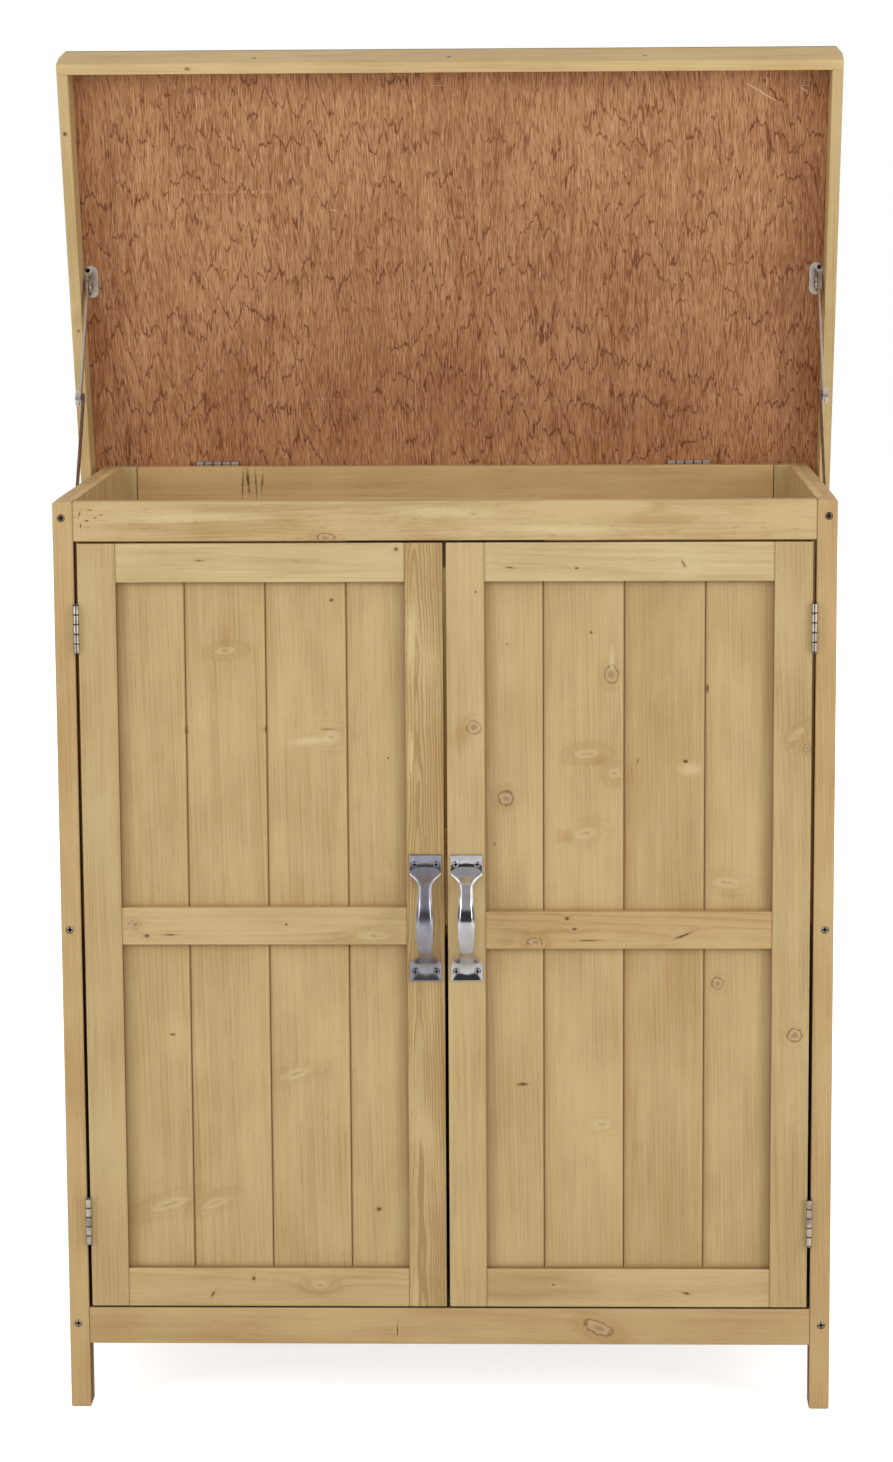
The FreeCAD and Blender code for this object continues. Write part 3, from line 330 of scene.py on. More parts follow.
def studio_floor():
    """A pale floor that the camera sees as white, with the dark end of the studio in reflections."""
    mesh = bpy.data.meshes.new("studio floor")
    shape = bmesh.new()
    bmesh.ops.create_grid(shape, x_segments=8, y_segments=8, size=FLOOR_REACH)
    shape.to_mesh(mesh)
    shape.free()
    floor = bpy.data.objects.new("studio_floor", mesh)
    bpy.context.scene.collection.objects.link(floor)
    finish = Finish("studio floor")
    to_camera, to_metal, to_glass = finish.rays()
    shiny = finish.math("MAXIMUM", to_metal, to_glass)
    dark_end = shiny * finish.place().along(Y).step(DARK_END_STARTS, DARK_END_IS_FULL)
    seen = finish.math("MAXIMUM", to_camera, (shiny - dark_end) * REFLECTED_GLOW)
    mesh.materials.append(finish.surface(
        Base_Color=finish.mix(dark_end, paint(214, 214, 212), paint(40, 40, 42)), Roughness=0.9,
        Emission_Color=finish.mix(seen, (0, 0, 0, 1), (1, 1, 1, 1)), Emission_Strength=FLOOR_GLOW))
    return floor


studio_floor()

# %% [markdown]
# Spruce is drawn the way it grows. A log is a stack of cones round its pith, so a ring is wherever
# the distance from the pith passes a whole number of ring widths. A board shows straight lines where
# it was cut far from the pith and tall arches where the pith leans through it. A knot is a branch
# that was grown over: the rings rise round it, and the branch itself shows as an oval with a rim.
# Each knot here has its place across and along the grain, its two half sizes, its tilt and its kind.
# Brown stains of resin and lighter patches, where the plane cut deeper, are kept in the same lists.

# %% Colours of the timber
SPRUCE = paint(194, 168, 119)
SPRUCE_LIGHT = paint(199, 177, 131)
SPRUCE_WARM = paint(191, 160, 111)
SPRUCE_BROWN = paint(194, 166, 117)
SPRING_WOOD = (1.1, 1.12, 1.15)
AUTUMN_WOOD = (0.74, 0.65, 0.51)
ROUND_A_KNOT = (0.7, 0.57, 0.41)
# Stain and painted shade: in the grooves, along joints and in the door recesses.
STAIN_AND_SHADE_BROWN = paint(146, 108, 66)
# Painted shade: the dark red-brown of the faces that look into the gaps round the doors.
GAP_SHADE_BROWN = paint(78, 24, 12)

# %% Kinds of knots
# body and cover: the branch's colour and how much it hides. rim and line: the dark ring round it.
# heart and core: its middle. ripple and swell: how the rings round it darken and rise.
# fade: between which distances the body fades out, in half sizes.
KNOT_KINDS = {
    "pale": dict(body=paint(207, 186, 143), cover=0.5, rim=paint(166, 130, 84), line=0.22,
                 heart=paint(140, 110, 74), core=0.42, ripple=0.3, swell=2.6, fade=(1.25, 0.55)),
    "round": dict(body=paint(199, 170, 130), cover=0.65, rim=paint(112, 74, 44), line=0.72,
                  heart=paint(144, 112, 78), core=0.7, ripple=0.3, swell=3.4, fade=(1.1, 0.8)),
    "pin": dict(body=paint(150, 108, 66), cover=0.45, rim=paint(196, 160, 112), line=0.2,
                heart=paint(72, 46, 28), core=0.9, ripple=0.0, swell=1.6, fade=(1.25, 0.55)),
    "slit": dict(body=paint(158, 120, 76), cover=0.4, rim=paint(158, 120, 76), line=0.1,
                 heart=paint(84, 52, 32), core=0.9, ripple=0.0, swell=1.0, fade=(1.25, 0.55)),
    "stain": dict(body=paint(166, 122, 72), cover=0.42, core=0.0, ripple=0.0, swell=0.0, fade=(1.6, 0.0)),
    "light": dict(body=paint(218, 200, 152), cover=0.55, core=0.0, ripple=0.0, swell=0.0, fade=(1.5, 0.2)),
}
# How much narrower the heart of a pale knot is than its body, across and along the grain.
NARROW_HEART = (1.4, 3.2, 1.0)


# %% Knots
def knot_shapes(finish, side, run, knots, seed):
    """For each knot: how far off its middle a point is, how far off its heart, and its kind."""
    if not knots:
        return []
    wobble = finish.noise(finish.point(side, run, seed), 5.0, 2.0, seed) - 0.5
    flat = finish.point(side, run, 0.0)
    shapes = []
    for knot_side, knot_run, half_side, half_run, tilt, kind in knots:
        inside = finish.add("ShaderNodeMapping", {"vector_type": "TEXTURE"},
                            {"Vector": flat, "Location": (knot_side, knot_run, 0.0),
                             "Rotation": (0.0, 0.0, math.radians(tilt)),
                             "Scale": (half_side, half_run, 1.0)})
        narrow = inside
        if kind == "pale":
            narrow = finish.add("ShaderNodeVectorMath", {"operation": "MULTIPLY"},
                                {0: inside, 1: NARROW_HEART})
        shapes.append((inside.length() + wobble * 0.8, narrow.length() + wobble, KNOT_KINDS[kind]))
    return shapes


def draw_knots(finish, colour, shapes, tone, streak, cloud):
    """Paint each knot: a brown cloud, ripples and a halo, then the branch with its rim and heart."""
    brown, halo = toned(tone, ROUND_A_KNOT), toned(tone, 1.14)
    for away, heart, look in shapes:
        if look["ripple"]:
            shade = away.step(2.8, 1.0) * cloud.step(0.42, 0.6)
            colour = finish.mix(shade * look["ripple"] * 1.3, colour, brown)
            ripple = (away * 11.0).math("SINE").step(-0.2, 1.0) * ((away - 1.25) * 1.5).bell()
            colour = finish.mix(ripple * look["ripple"], colour, brown)
            colour = finish.mix(((away - 1.3) * 5.0).bell() * 0.3, colour, halo)
        colour = finish.mix(away.step(*look["fade"]) * look["cover"], colour, look["body"])
        if look["core"]:
            line = ((away - 0.95) * 8.0).bell() * streak.step(0.28, 0.46)
            colour = finish.mix(line * look["line"], colour, look["rim"])
            colour = finish.mix(heart.step(0.75, 0.15) * look["core"], colour, look["heart"])
    return colour


# %% [markdown]
# Where boards lie side by side, each was cut from its own log. A random value for the board's number
# gives it a place along the log and a distance from the pith. At each joint the groove is darker, from
# stain and from painted shade on its flank, and the rounded arris beside it gets a painted highlight.

# %% Boards side by side
def board_chances(finish, side, boards, seed):
    """The number of the board that a point is in, and three random values of that board's own."""
    start, cover = boards
    count = ((side - start) / cover).math("FLOOR")
    chance = finish.add("ShaderNodeTexWhiteNoise", {"noise_dimensions": "1D"}, {"W": count + seed},
                        "Color")
    parts = [finish.add("ShaderNodeSeparateColor", values={"Color": chance}, out=part)
             for part in ("Red", "Green", "Blue")]
    return count, parts


def draw_joints(finish, colour, side, boards, groove, tone):
    """The colour with a painted highlight on each joint's arris, and the groove's stain and painted shade.
    """
    start, cover = boards
    rightward, leftward = groove
    offset = (((side - start) / cover + 0.5).math("FRACT") - 0.5) * cover
    # Painted highlight: a light line on the rounded arris beside each groove.
    colour = finish.mix(((offset + leftward + 0.8) * 1.2).bell() * 0.5, colour, toned(tone, 1.16))
    # Stain and painted shade in the groove, fading out to the right of the joint.
    fade = finish.math("MAXIMUM", offset.step(1.2, 0.4), (offset / -rightward).math("EXPONENT") * 0.6)
    return colour, fade * offset.step(-leftward, -0.3) * 0.85


# %% Gaps round the doors
DOOR_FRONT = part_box("left_door_hinge_stile")[0][1] / MM
# The limits of the faces that get painted gap shade: from the cabinet's middle, and behind the doors'
# front.
DOORWAY = (380.6, 380.2)
FRONT_ARRIS, BACK_ARRIS = (0.6, 2.2), (19.4, 18.6)
print("the doors' front is at", round(DOOR_FRONT, 1), "mm")


def shaded_gap_faces(place):
    """The faces that look into a gap and get painted shade: inside the doorway, between a piece's front
    and back arris.
    """
    behind = place.along(Y) - DOOR_FRONT
    return behind.step(*FRONT_ARRIS) * behind.step(*BACK_ARRIS) * abs(place.along(X)).step(*DOORWAY)


# %% [markdown]
# Now the wood itself. spacing is the width of a ring. pith is the log's middle, across the piece and
# behind it. lean and taper say how the log stands in the piece, wave and drift how its rings wander,
# figure and blotch how strong its rings and clouds are. boards gives where the first board starts
# and how wide each one is, shifts makes single boards darker, and groove is how far the darkening of
# stain and painted shade reaches to the right and left of a joint. The lines of stain and painted
# shade each have their place, width and strength, and edge is how much painted shade, dark red-brown,
# the faces get that look into a gap.

# %% Spruce
LATE_WOOD = ((0.0, 0.0), (0.45, 0.2), (0.8, 1.0), (1.0, 0.0))
# Where a board was cut from its log: up to this far along it, and this near to its pith or further.
LOG_LENGTH = 400.0
PITH_ASIDE, PITH_NEAR, PITH_SPREAD = 0.3, 30.0, 50.0


def spruce(name, grain, across, tone=SPRUCE, seed=0.0, spacing=3.2, pith=(14.0, 75.0), lean=0.02,
           taper=0.006, figure=0.42, blotch=1.1, wave=1.6, drift=7.0, knots=(), boards=None, shifts=(),
           groove=(3.0, 1.5), stain_and_shade_lines=(), edge=0.0):
    """Planed and stained spruce with its grain along one direction and its width across another."""
    finish = Finish(name)
    grain, across = Vector(grain).normalized(), Vector(across).normalized()
    inward = across.cross(grain)
    low, high = (Vector(corner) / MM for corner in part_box(name))
    place = finish.place()
    run, side = place.along(grain), place.along(across)
    deep = place.along(inward) - (low + high).dot(inward) / 2

    along = run
    pith_side, pith_deep = pith
    if boards:
        count, (first, second, third) = board_chances(finish, side, boards, seed)
        start, cover = boards
        along = run + first * LOG_LENGTH
        pith_side = (count - PITH_ASIDE - second) * cover + start
        pith_deep = third * PITH_SPREAD + PITH_NEAR

    def drawn_out(stretch, size, detail, other=0):
        """Noise in lumps of a size in millimetres, drawn out along the grain."""
        return finish.noise(finish.point(side, deep, along / stretch), size, detail, seed + other)

    # How far a point is from the pith, and so in which ring.
    slow, quick = drawn_out(9, 48.0, 1.0), drawn_out(5, 12.0, 1.0, 3)
    near = side - pith_side + along * lean
    reach = (near ** 2 + (deep - pith_deep) ** 2) ** 0.5 + along * taper
    reach = reach + (slow - 0.5) * drift + (quick - 0.5) * wave
    shapes = knot_shapes(finish, side, run, knots, seed)
    for away, _, look in shapes:
        if look["swell"]:
            reach = reach + (away * 0.55).bell() * look["swell"]
    years = finish.noise(finish.point(reach, 0.0, 0.0), 9.0, 2.0, seed + 6)
    ring = ((reach + (years - 0.5) * 11.0) / spacing).math("FRACT")
    late = finish.add("ShaderNodeValToRGB", {"stops": LATE_WOOD}, {"Fac": ring})

    # How brown it is there, from its rings, fibres, streaks, flecks and clouds.
    fibre, streak = drawn_out(45, 1.5, 2.0), drawn_out(24, 6.0, 3.0, 1)
    cloud, fleck = drawn_out(2.2, 52.0, 3.0, 2), drawn_out(9, 1.7, 1.0, 4)
    brown = late * (years * 1.8 - 0.05) * cloud.step(0.2, 0.65) * figure
    brown = brown + (streak - 0.5) * 0.6 + (cloud - 0.5) * 0.8 * blotch
    brown = brown + (fibre - 0.5) * 0.55 + fleck.step(0.62, 0.74) * 0.2 * blotch + 0.18
    if boards:
        brown = brown + (second - 0.5) * 0.1
    for number, shift in enumerate(shifts):
        brown = brown + finish.math("COMPARE", count, float(number), 0.1) * shift
    colour = finish.mix(brown.clamped(), toned(tone, SPRING_WOOD), toned(tone, AUTUMN_WOOD))
    colour = draw_knots(finish, colour, shapes, tone, streak, cloud)

    # Where stain has gathered and shade is painted: in the grooves, along joints and round the door
    # panels.
    stain_and_shade = 0.0
    if boards:
        colour, stain_and_shade = draw_joints(finish, colour, side, boards, groove, tone)
    for direction, spot, width, strength in stain_and_shade_lines:
        off = abs((side if direction == "side" else run) - spot)
        stain_and_shade = finish.math("MAXIMUM", stain_and_shade, (off / -width).math("EXPONENT") * strength)
    if boards or stain_and_shade_lines:
        colour = finish.mix(stain_and_shade, colour, STAIN_AND_SHADE_BROWN)
    # Painted shade: the faces that look into a gap round the doors turn dark red-brown.
    if edge:
        colour = finish.mix(shaded_gap_faces(place) * edge, colour, GAP_SHADE_BROWN)

    return finish.surface(
        Base_Color=colour,
        Roughness=0.54 + fibre * 0.16,
        Normal=finish.bump(fibre * 0.6 - late * 0.4, 0.25, 0.0005),
        Specular_IOR_Level=0.35)


# %% [markdown]
# The grain of a piece always runs along its length: up the uprights, stiles and boards, across the
# rails, and back along the side rails. The lid's boards are turned with the lid, so their directions
# are those of the open lid.

# %% Directions
LID_ANGLE = math.radians(73)
LID_FRONTWARD = Vector((0, -math.cos(LID_ANGLE), math.sin(LID_ANGLE)))
LID_UPWARD = Vector((0, math.sin(LID_ANGLE), math.cos(LID_ANGLE)))
LID_AXIS = Vector((0, 237.886, 962.0))
HANDS = ("left", "right")


def wear(node, material):
    """Give a CAD node its finish in every material slot."""
    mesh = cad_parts[node].data
    if not mesh.materials:
        mesh.materials.append(material)
    for index in range(len(mesh.materials)):
        mesh.materials[index] = material


# %% Doors: boards
BOARD_COVER = 83.0
left_knots = (
    # across, up, half width, half height, tilt, kind
    (-225, 806, 13, 5, 6, "pale"),
    (-267, 723, 3, 5, 0, "pin"),
    (-185, 724, 3, 5, 0, "pin"),
    (-120, 724, 13, 1.3, -2, "slit"),
    (-117, 716, 12, 9, 0, "pale"),
    (-59, 694, 1.6, 1.6, 0, "pin"),
    (-116, 858, 3, 2.5, 0, "pin"),
    (-225, 818, 5, 16, 0, "stain"),
    (-140, 712, 22, 4, 4, "light"),
    (-293, 219, 27, 7, 18, "pale"),
    (-244, 221, 19, 6, 20, "pale"),
    (-158, 360, 20, 6, 18, "pale"),
    (-287, 402, 4, 2, 0, "pin"),
    (-73, 214, 5, 3, 0, "pin"),
)
right_knots = (
    (64, 812, 1.5, 1.5, 0, "pin"),
    (62, 652, 7.5, 7.5, 0, "round"),
    (50, 604, 1.5, 2.5, 0, "pin"),
    (150, 824, 2, 2, 0, "pin"),
    (171, 781, 7, 9, 0, "round"),
    (145, 698, 15, 6, 4, "pale"),
    (175, 678, 8, 7, 0, "pale"),
    (144, 615, 16, 8, 12, "pale"),
    (124, 611, 9, 7, 0, "stain"),
    (158, 691, 8, 5, 0, "stain"),
    (252, 682, 12, 7, 0, "light"),
    (171, 796, 3, 12, 0, "light"),
    (198, 691, 1.2, 4, -12, "slit"),
    (192, 682, 1.6, 1.6, 0, "pin"),
    (247, 690, 3.5, 2.5, 0, "pin"),
    (269, 766, 2.5, 6, 0, "pin"),
    (290, 563, 17, 7, -6, "pale"),
    (281, 457, 6, 6, 0, "round"),
    (79, 349, 8, 2.5, 0, "pin"),
    (160, 306, 14, 7, 0, "pale"),
)


def door_boards(hand, start, knots, shifts, groove, seed):
    """The boards of one door, darker along the stiles and rails round them with stain and painted shade.
    """
    node = f"{hand}_door_boards"
    low, high = (Vector(corner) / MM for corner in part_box(node))
    rail_low, rail_high = (Vector(corner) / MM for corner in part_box(f"{hand}_door_middle_rail"))
    stain_and_shade_lines = [("side", edge, 5.0, 0.5) for edge in (low.x, high.x)]
    stain_and_shade_lines += [("run", edge, 2.0, 0.6) for edge in (high.z, rail_high.z, rail_low.z, low.z)]
    wear(node, spruce(node, Z, X, SPRUCE_BROWN, seed, boards=(start, BOARD_COVER), knots=knots,
                      groove=groove, shifts=shifts, stain_and_shade_lines=stain_and_shade_lines, wave=1.0, drift=5.0))


door_boards("left", -350.0, left_knots, (0.04, 0.02, 0.04, 0.0), (2.0, 1.6), 3.0)
door_boards("right", 18.0, right_knots, (0.0, -0.08, 0.28, 0.06), (4.5, 1.4), 8.0)

# %% Doors: stiles and rails
door_timber = {
    "left_door_hinge_stile": dict(tone=toned(SPRUCE, 0.95), seed=11, pith=(-300, 60)),
    "left_door_free_stile": dict(seed=13, pith=(-27, 14), figure=1.9, blotch=1.6, lean=0.004, taper=0.018,
                                 wave=6.0, drift=11.0, stain_and_shade_lines=(("side", -3.0, 8.0, 0.4),),
                                 knots=((-35, 700, 3, 22, 0, "light"), (-34, 820, 4, 40, 0, "light"))),
    "right_door_hinge_stile": dict(tone=toned(SPRUCE, 0.95), seed=16, pith=(330, 60),
                                   knots=((361, 404, 8, 7, 0, "round"), (371, 705, 4, 4, 0, "round"),
                                          (360, 719, 12, 4, 40, "pale"))),
    "right_door_free_stile": dict(seed=18, pith=(0, 50), wave=5.0, figure=0.25,
                                  knots=((15, 717, 11, 12, 0, "stain"), (30, 727, 7, 7, 0, "round"),
                                         (32, 867, 1.5, 1.5, 0, "pin"))),
}
for node, facts in door_timber.items():
    low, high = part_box(node)
    inner_edge = (high[0] if "left_door_hinge" in node or "right_door_free" in node else low[0]) / MM
    stain_and_shade_lines = (("side", inner_edge, 0.7, 0.5), *facts.pop("stain_and_shade_lines", ()))
    # edge: painted gap shade on the stiles' side faces.
    wear(node, spruce(node, Z, X, edge=0.6, stain_and_shade_lines=stain_and_shade_lines, **facts))

door_rails = {
    "left_door_top_rail": dict(tone=SPRUCE_LIGHT, seed=21, pith=(890, 60), figure=0.3,
                               knots=((911, -49, 3, 3.5, 0, "pin"), (900, -250, 1.5, 6, 0, "slit"))),
    "left_door_middle_rail": dict(seed=23, pith=(530, 45),
                                  knots=((521, -323, 4, 6, 0, "round"), (509, -311, 3, 4, 0, "pin"),
                                         (510, -287, 1.2, 12, 0, "slit"), (521, -166, 2, 2, 0, "pin"),
                                         (509, -75, 5, 22, 0, "pale"))),
    "left_door_bottom_rail": dict(seed=25, pith=(120, 60),
                                  knots=((141, -205, 3, 3, 0, "pin"), (124, -248, 5, 2, 30, "slit"),
                                         (135, -135, 6, 12, 0, "pale"))),
    "right_door_top_rail": dict(tone=SPRUCE_LIGHT, seed=27, pith=(880, 60), figure=0.3,
                                knots=((892, 67, 1.2, 6, 8, "slit"), (891, 135, 2, 3, 0, "pin"),
                                       (895, 244, 6, 2, -30, "slit"))),
    "right_door_middle_rail": dict(tone=SPRUCE_WARM, seed=29, pith=(505, 50),
                                   knots=((502, 92, 5, 8, 0, "round"), (527, 125, 3, 3, 0, "pin"),
                                          (516, 133, 2, 4, 0, "pin"), (504, 148, 1.2, 16, 0, "slit"),
                                          (509, 245, 2, 18, -22, "slit"))),
    "right_door_bottom_rail": dict(seed=31, pith=(140, 70),
                                   knots=((126, 250, 2, 8, 12, "slit"), (135, 110, 2, 3, 0, "pin"))),
}
for node, facts in door_rails.items():
    low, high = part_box(node)
    ends = (("run", low[0] / MM, 0.7, 0.8), ("run", high[0] / MM, 0.7, 0.8))
    # edge: painted gap shade on the top and bottom rails' faces in the gaps.
    wear(node, spruce(node, X, Z, stain_and_shade_lines=ends, edge=0.0 if "middle" in node else 0.5, **facts))

# %% Frame
# edge: painted gap shade on the front uprights' inner faces.
upright_timber = {
    "front_upright_left": dict(tone=SPRUCE_WARM, seed=33, pith=(-340, 30), edge=0.7),
    "front_upright_right": dict(tone=SPRUCE_WARM, seed=35, pith=(340, 30), edge=0.7),
    "back_upright_left": dict(seed=37, pith=(-360, 60)),
    "back_upright_right": dict(seed=39, pith=(380, 60)),
}
for node, facts in upright_timber.items():
    wear(node, spruce(node, Z, X, **facts))

RAIL_END = 379.5
rail_ends = (("run", -RAIL_END, 0.7, 0.8), ("run", RAIL_END, 0.7, 0.8))
cross_timber = {
    "front_top_rail": dict(seed=41, pith=(962, 18), blotch=2.2, spacing=3.6, lean=0.008, taper=0.02,
                           wave=6.0, stain_and_shade_lines=rail_ends,
                           knots=((948, -372, 5, 1.2, 20, "slit"), (941, -365, 1.2, 3, 0, "slit"),
                                  (952, -361, 1, 4, 10, "slit"), (944, -356, 1, 3, -10, "slit"),
                                  (936, -371, 4, 1, 0, "slit"), (947, -350, 1, 2.5, 0, "slit"),
                                  (923, -120, 5, 9, 0, "round"), (947, 30, 5, 34, 0, "pale"),
                                  (944, -250, 5, 75, 0, "light"), (949, -10, 6, 40, 0, "light"),
                                  (931, 120, 4, 70, 1, "light"), (954, -200, 3, 90, 0, "stain"),
                                  (933, -310, 4, 50, 2, "stain"), (940, 210, 5, 60, 0, "stain"))),
    # edge: painted gap shade on the faces of the bottom rail that look into the gap under the doors.
    "front_bottom_rail": dict(tone=SPRUCE_WARM, seed=43, pith=(80, 70), figure=0.35, edge=0.6,
                              stain_and_shade_lines=rail_ends,
                              knots=((85, -54, 11, 1.2, 0, "slit"), (88, 158, 7, 16, 24, "round"))),
    "back_rails": dict(tone=toned(SPRUCE, (1.17, 1.07, 1.0)), seed=45, pith=(950, 50), figure=0.3,
                       knots=((942, -241, 24, 1.4, 3, "slit"), (945, -235, 20, 2.4, -4, "pin"),
                              (940, -226, 26, 1.2, -3, "slit"), (942, -219, 16, 1.4, 5, "slit"),
                              (945, 175, 6, 4, 0, "pale"))),
    "stop_block": dict(seed=47, pith=(900, 60)),
    "floor_bearers": dict(tone=SPRUCE_WARM, seed=49, pith=(60, 60)),
}
for node, facts in cross_timber.items():
    wear(node, spruce(node, X, Z, **facts))

for node, seed in (("side_rails_left", 51), ("side_rails_right", 53), ("shelf_battens", 55)):
    wear(node, spruce(node, Y, Z, SPRUCE_WARM, seed))

# The side boards get a lighter tone, which stands in for the light that falls on their inner faces.
for node, seed in (("side_boards_left", 57), ("side_boards_right", 61)):
    side_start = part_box(node)[0][1] / MM
    wear(node, spruce(node, Z, Y, toned(SPRUCE_BROWN, 1.16), seed, boards=(side_start, BOARD_COVER),
                      figure=0.24))

back_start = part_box("back_boards")[0][0] / MM
wear("back_boards", spruce("back_boards", Z, X, SPRUCE_BROWN, 65, boards=(back_start, BOARD_COVER)))
for node, seed in (("floor_panel", 67), ("shelf_panel", 71)):
    wear(node, spruce(node, X, Y, SPRUCE_WARM, seed, pith=(0.0, 120.0)))
print("back boards start at", round(back_start, 1))

# %% Lid: boards round the panel
front_apron_knots = ((1322.3, -282, 2.6, 4, 0, "pin"), (1316, 413, 4, 1.2, 20, "slit"))
left_apron_knots = ((-418.5, 1251, 3.2, 3.6, 0, "pin"), (-416.5, 1025, 2.2, 2.6, 0, "pin"))
front_arris = (("side", 1328.4, 0.8, 0.3),)
lid_timber = (
    # node, grain, across, seed, lightness, pith, knots, lines of stain and painted shade
    ("lid_front_apron", X, LID_FRONTWARD, 73, 1.2, (560, 60), front_apron_knots, front_arris),
    ("lid_side_apron_left", LID_FRONTWARD, X, 75, 1.08, (-500, 60), left_apron_knots, ()),
    ("lid_side_apron_right", LID_FRONTWARD, X, 77, 1.08, (500, 60), (), ()),
)
for node, grain, across, seed, light, pith, knots, stain_and_shade_lines in lid_timber:
    wear(node, spruce(node, grain, across, toned(SPRUCE, light), seed, pith=pith, wave=4.0, knots=knots,
                      stain_and_shade_lines=stain_and_shade_lines))

# %% [markdown]
# The lid's panel is a thin plywood with a reddish face veneer. Veneer is peeled from a turning log,
# so its figure is irregular: fine straight pores all run one way, and here and there a dark line
# wanders off in a jagged arch where the knife crossed a growth line. A few scratches, the marks of
# three staples and a row of rubbed spots show that the lid has been handled.

# %% Plywood
AXIS_RUN = LID_AXIS.dot(LID_FRONTWARD)
SCRATCHES = (
    # from (side, run) to (side, run), half width, strength
    ((323, 440), (354, 421), 0.9, 0.8),
    ((331, 438), (345, 426), 0.6, 0.5),
    ((-287, 242), (-231, 127), 0.7, 0.35),
    ((381, 436), (388, 431), 1.0, 0.9),
    ((-135, 300), (-128, 299), 0.8, 0.7),
)
RUBBED_ROW = ((-284, 321), (-195, 321))
STAPLES = ((-13, 440), (386, 437.5), (-392, 450))


def stroke(finish, side, run, start, end, half_width):
    """Where a point lies on a straight mark from start to end."""
    length = math.dist(start, end)
    across, along = (end[0] - start[0]) / length, (end[1] - start[1]) / length
    forward = (side - start[0]) * across + (run - start[1]) * along
    off = (side - start[0]) * along - (run - start[1]) * across
    within = abs(forward - length / 2).step(length / 2 + 0.8, length / 2)
    return abs(off).step(half_width, half_width * 0.3) * within


def veneer(finish, side, run, deep):
    """The veneer's colour with its fine streaks, pores and growth lines, and painted shade at its edges.
    """
    def drawn_out(across, stretch, size, detail, seed):
        """Noise in lumps of a size in millimetres, drawn out along the grain."""
        return finish.noise(finish.point(across, run / stretch, deep), size, detail, seed)

    bent = side + (drawn_out(side, 2.5, 60.0, 1.0, 5) - 0.5) * 12
    streak, fine = drawn_out(bent, 16, 1.8, 2.0, 1), drawn_out(bent, 20, 1.0, 1.0, 2)
    patch, broad = drawn_out(bent, 2, 70.0, 3.0, 3), drawn_out(bent, 24, 9.0, 2.0, 9)
    pore = drawn_out(bent + run * 0.05, 12, 1.1, 1.0, 4).step(0.56, 0.66)
    pale = drawn_out(bent, 14, 1.1, 1.0, 8).step(0.57, 0.7)
    growth = run / 52 + drawn_out(side, 7, 22.0, 4.0, 6) * 4.4
    line = abs(growth.math("FRACT") - 0.5).step(0.07, 0.015)
    line = line * drawn_out(side, 2.5, 46.0, 2.0, 7).step(0.36, 0.48) * streak.step(0.22, 0.5)
    # Painted shade: darker in a band beside the aprons round the panel, and a little darker towards the
    # hinge end.
    rim = finish.math("MAXIMUM", abs(side).step(386.0, 410.0), run.step(440.0, 466.0))
    brown = (streak - 0.5) + (fine - 0.5) * 1.3 + (patch - 0.5) * 0.9 + (broad - 0.5) * 0.8
    brown = brown + rim * 0.16 + run.step(400.0, 0.0) * 0.04 + 0.41
    colour = finish.mix(brown.clamped(), paint(208, 156, 112), paint(146, 86, 46))
    colour = finish.mix(pale * 0.5, colour, paint(222, 178, 138))
    colour = finish.mix(pore * 0.62, colour, paint(118, 62, 36))
    return finish.mix(line * 0.75, colour, paint(104, 50, 28)), streak, fine, pore, line


def red_plywood():
    finish = Finish("red_plywood")
    place = finish.place()
    side, run, deep = place.along(X), place.along(LID_FRONTWARD) - AXIS_RUN, place.along(LID_UPWARD)
    colour, streak, fine, pore, line = veneer(finish, side, run, deep)
    rubbed = stroke(finish, side, run, *RUBBED_ROW, 1.6) * streak.step(0.5, 0.62)
    colour = finish.mix(rubbed * 0.8, colour, paint(230, 196, 156))
    for start, end, half_width, strength in SCRATCHES:
        mark = stroke(finish, side, run, start, end, half_width) * fine.step(0.3, 0.5)
        colour = finish.mix(mark * strength, colour, paint(236, 204, 168))
    for spot_side, spot_run in STAPLES:
        ends = (spot_side - 5, spot_run), (spot_side + 5, spot_run)
        colour = finish.mix(stroke(finish, side, run, *ends, 1.5) * 0.7, colour, paint(84, 46, 28))
        colour = finish.mix(stroke(finish, side, run, *ends, 0.7) * 0.9, colour, paint(206, 188, 170))
    return finish.surface(
        Base_Color=colour,
        Roughness=0.62 + fine * 0.14,
        Normal=finish.bump(fine - pore - line, 0.35, 0.0005),
        Specular_IOR_Level=0.3)


wear("lid_panel", red_plywood())

# %% [markdown]
# The weatherproof sheet on the lid is mineral felt: bitumen with fine stone granules rolled into it.


# %% Roofing felt
GRANULE = 1.4


def roofing_felt():
    """Fine stone granules of slightly different greens."""
    finish = Finish("roofing_felt")
    place = finish.place()
    cells = {"Vector": place, "Scale": 1 / GRANULE}
    grit, depth = (finish.add("ShaderNodeTexVoronoi", values=cells, out=out)
                   for out in ("Color", "Distance"))
    patch = finish.noise(place, 90.0, 3.0, 1)
    tint = finish.add("ShaderNodeSeparateColor", values={"Color": grit})
    colour = finish.mix(tint * 0.7 + patch * 0.3, paint(52, 66, 56), paint(98, 112, 98))
    return finish.surface(Base_Color=colour, Roughness=0.86 + tint * 0.1,
                          Normal=finish.bump(1.0 - depth, 0.6, 0.0006))


wear("lid_covering", roofing_felt())

# %% [markdown]
# The handles are chrome, and the other metal is plated steel: bright on the hinges, the plates, the
# frame's screws and the upper arms of the stays, brownish on the lower arms, and dark grey on the
# lid's small fasteners.


# %% Metals
KNUCKLE = 10.0


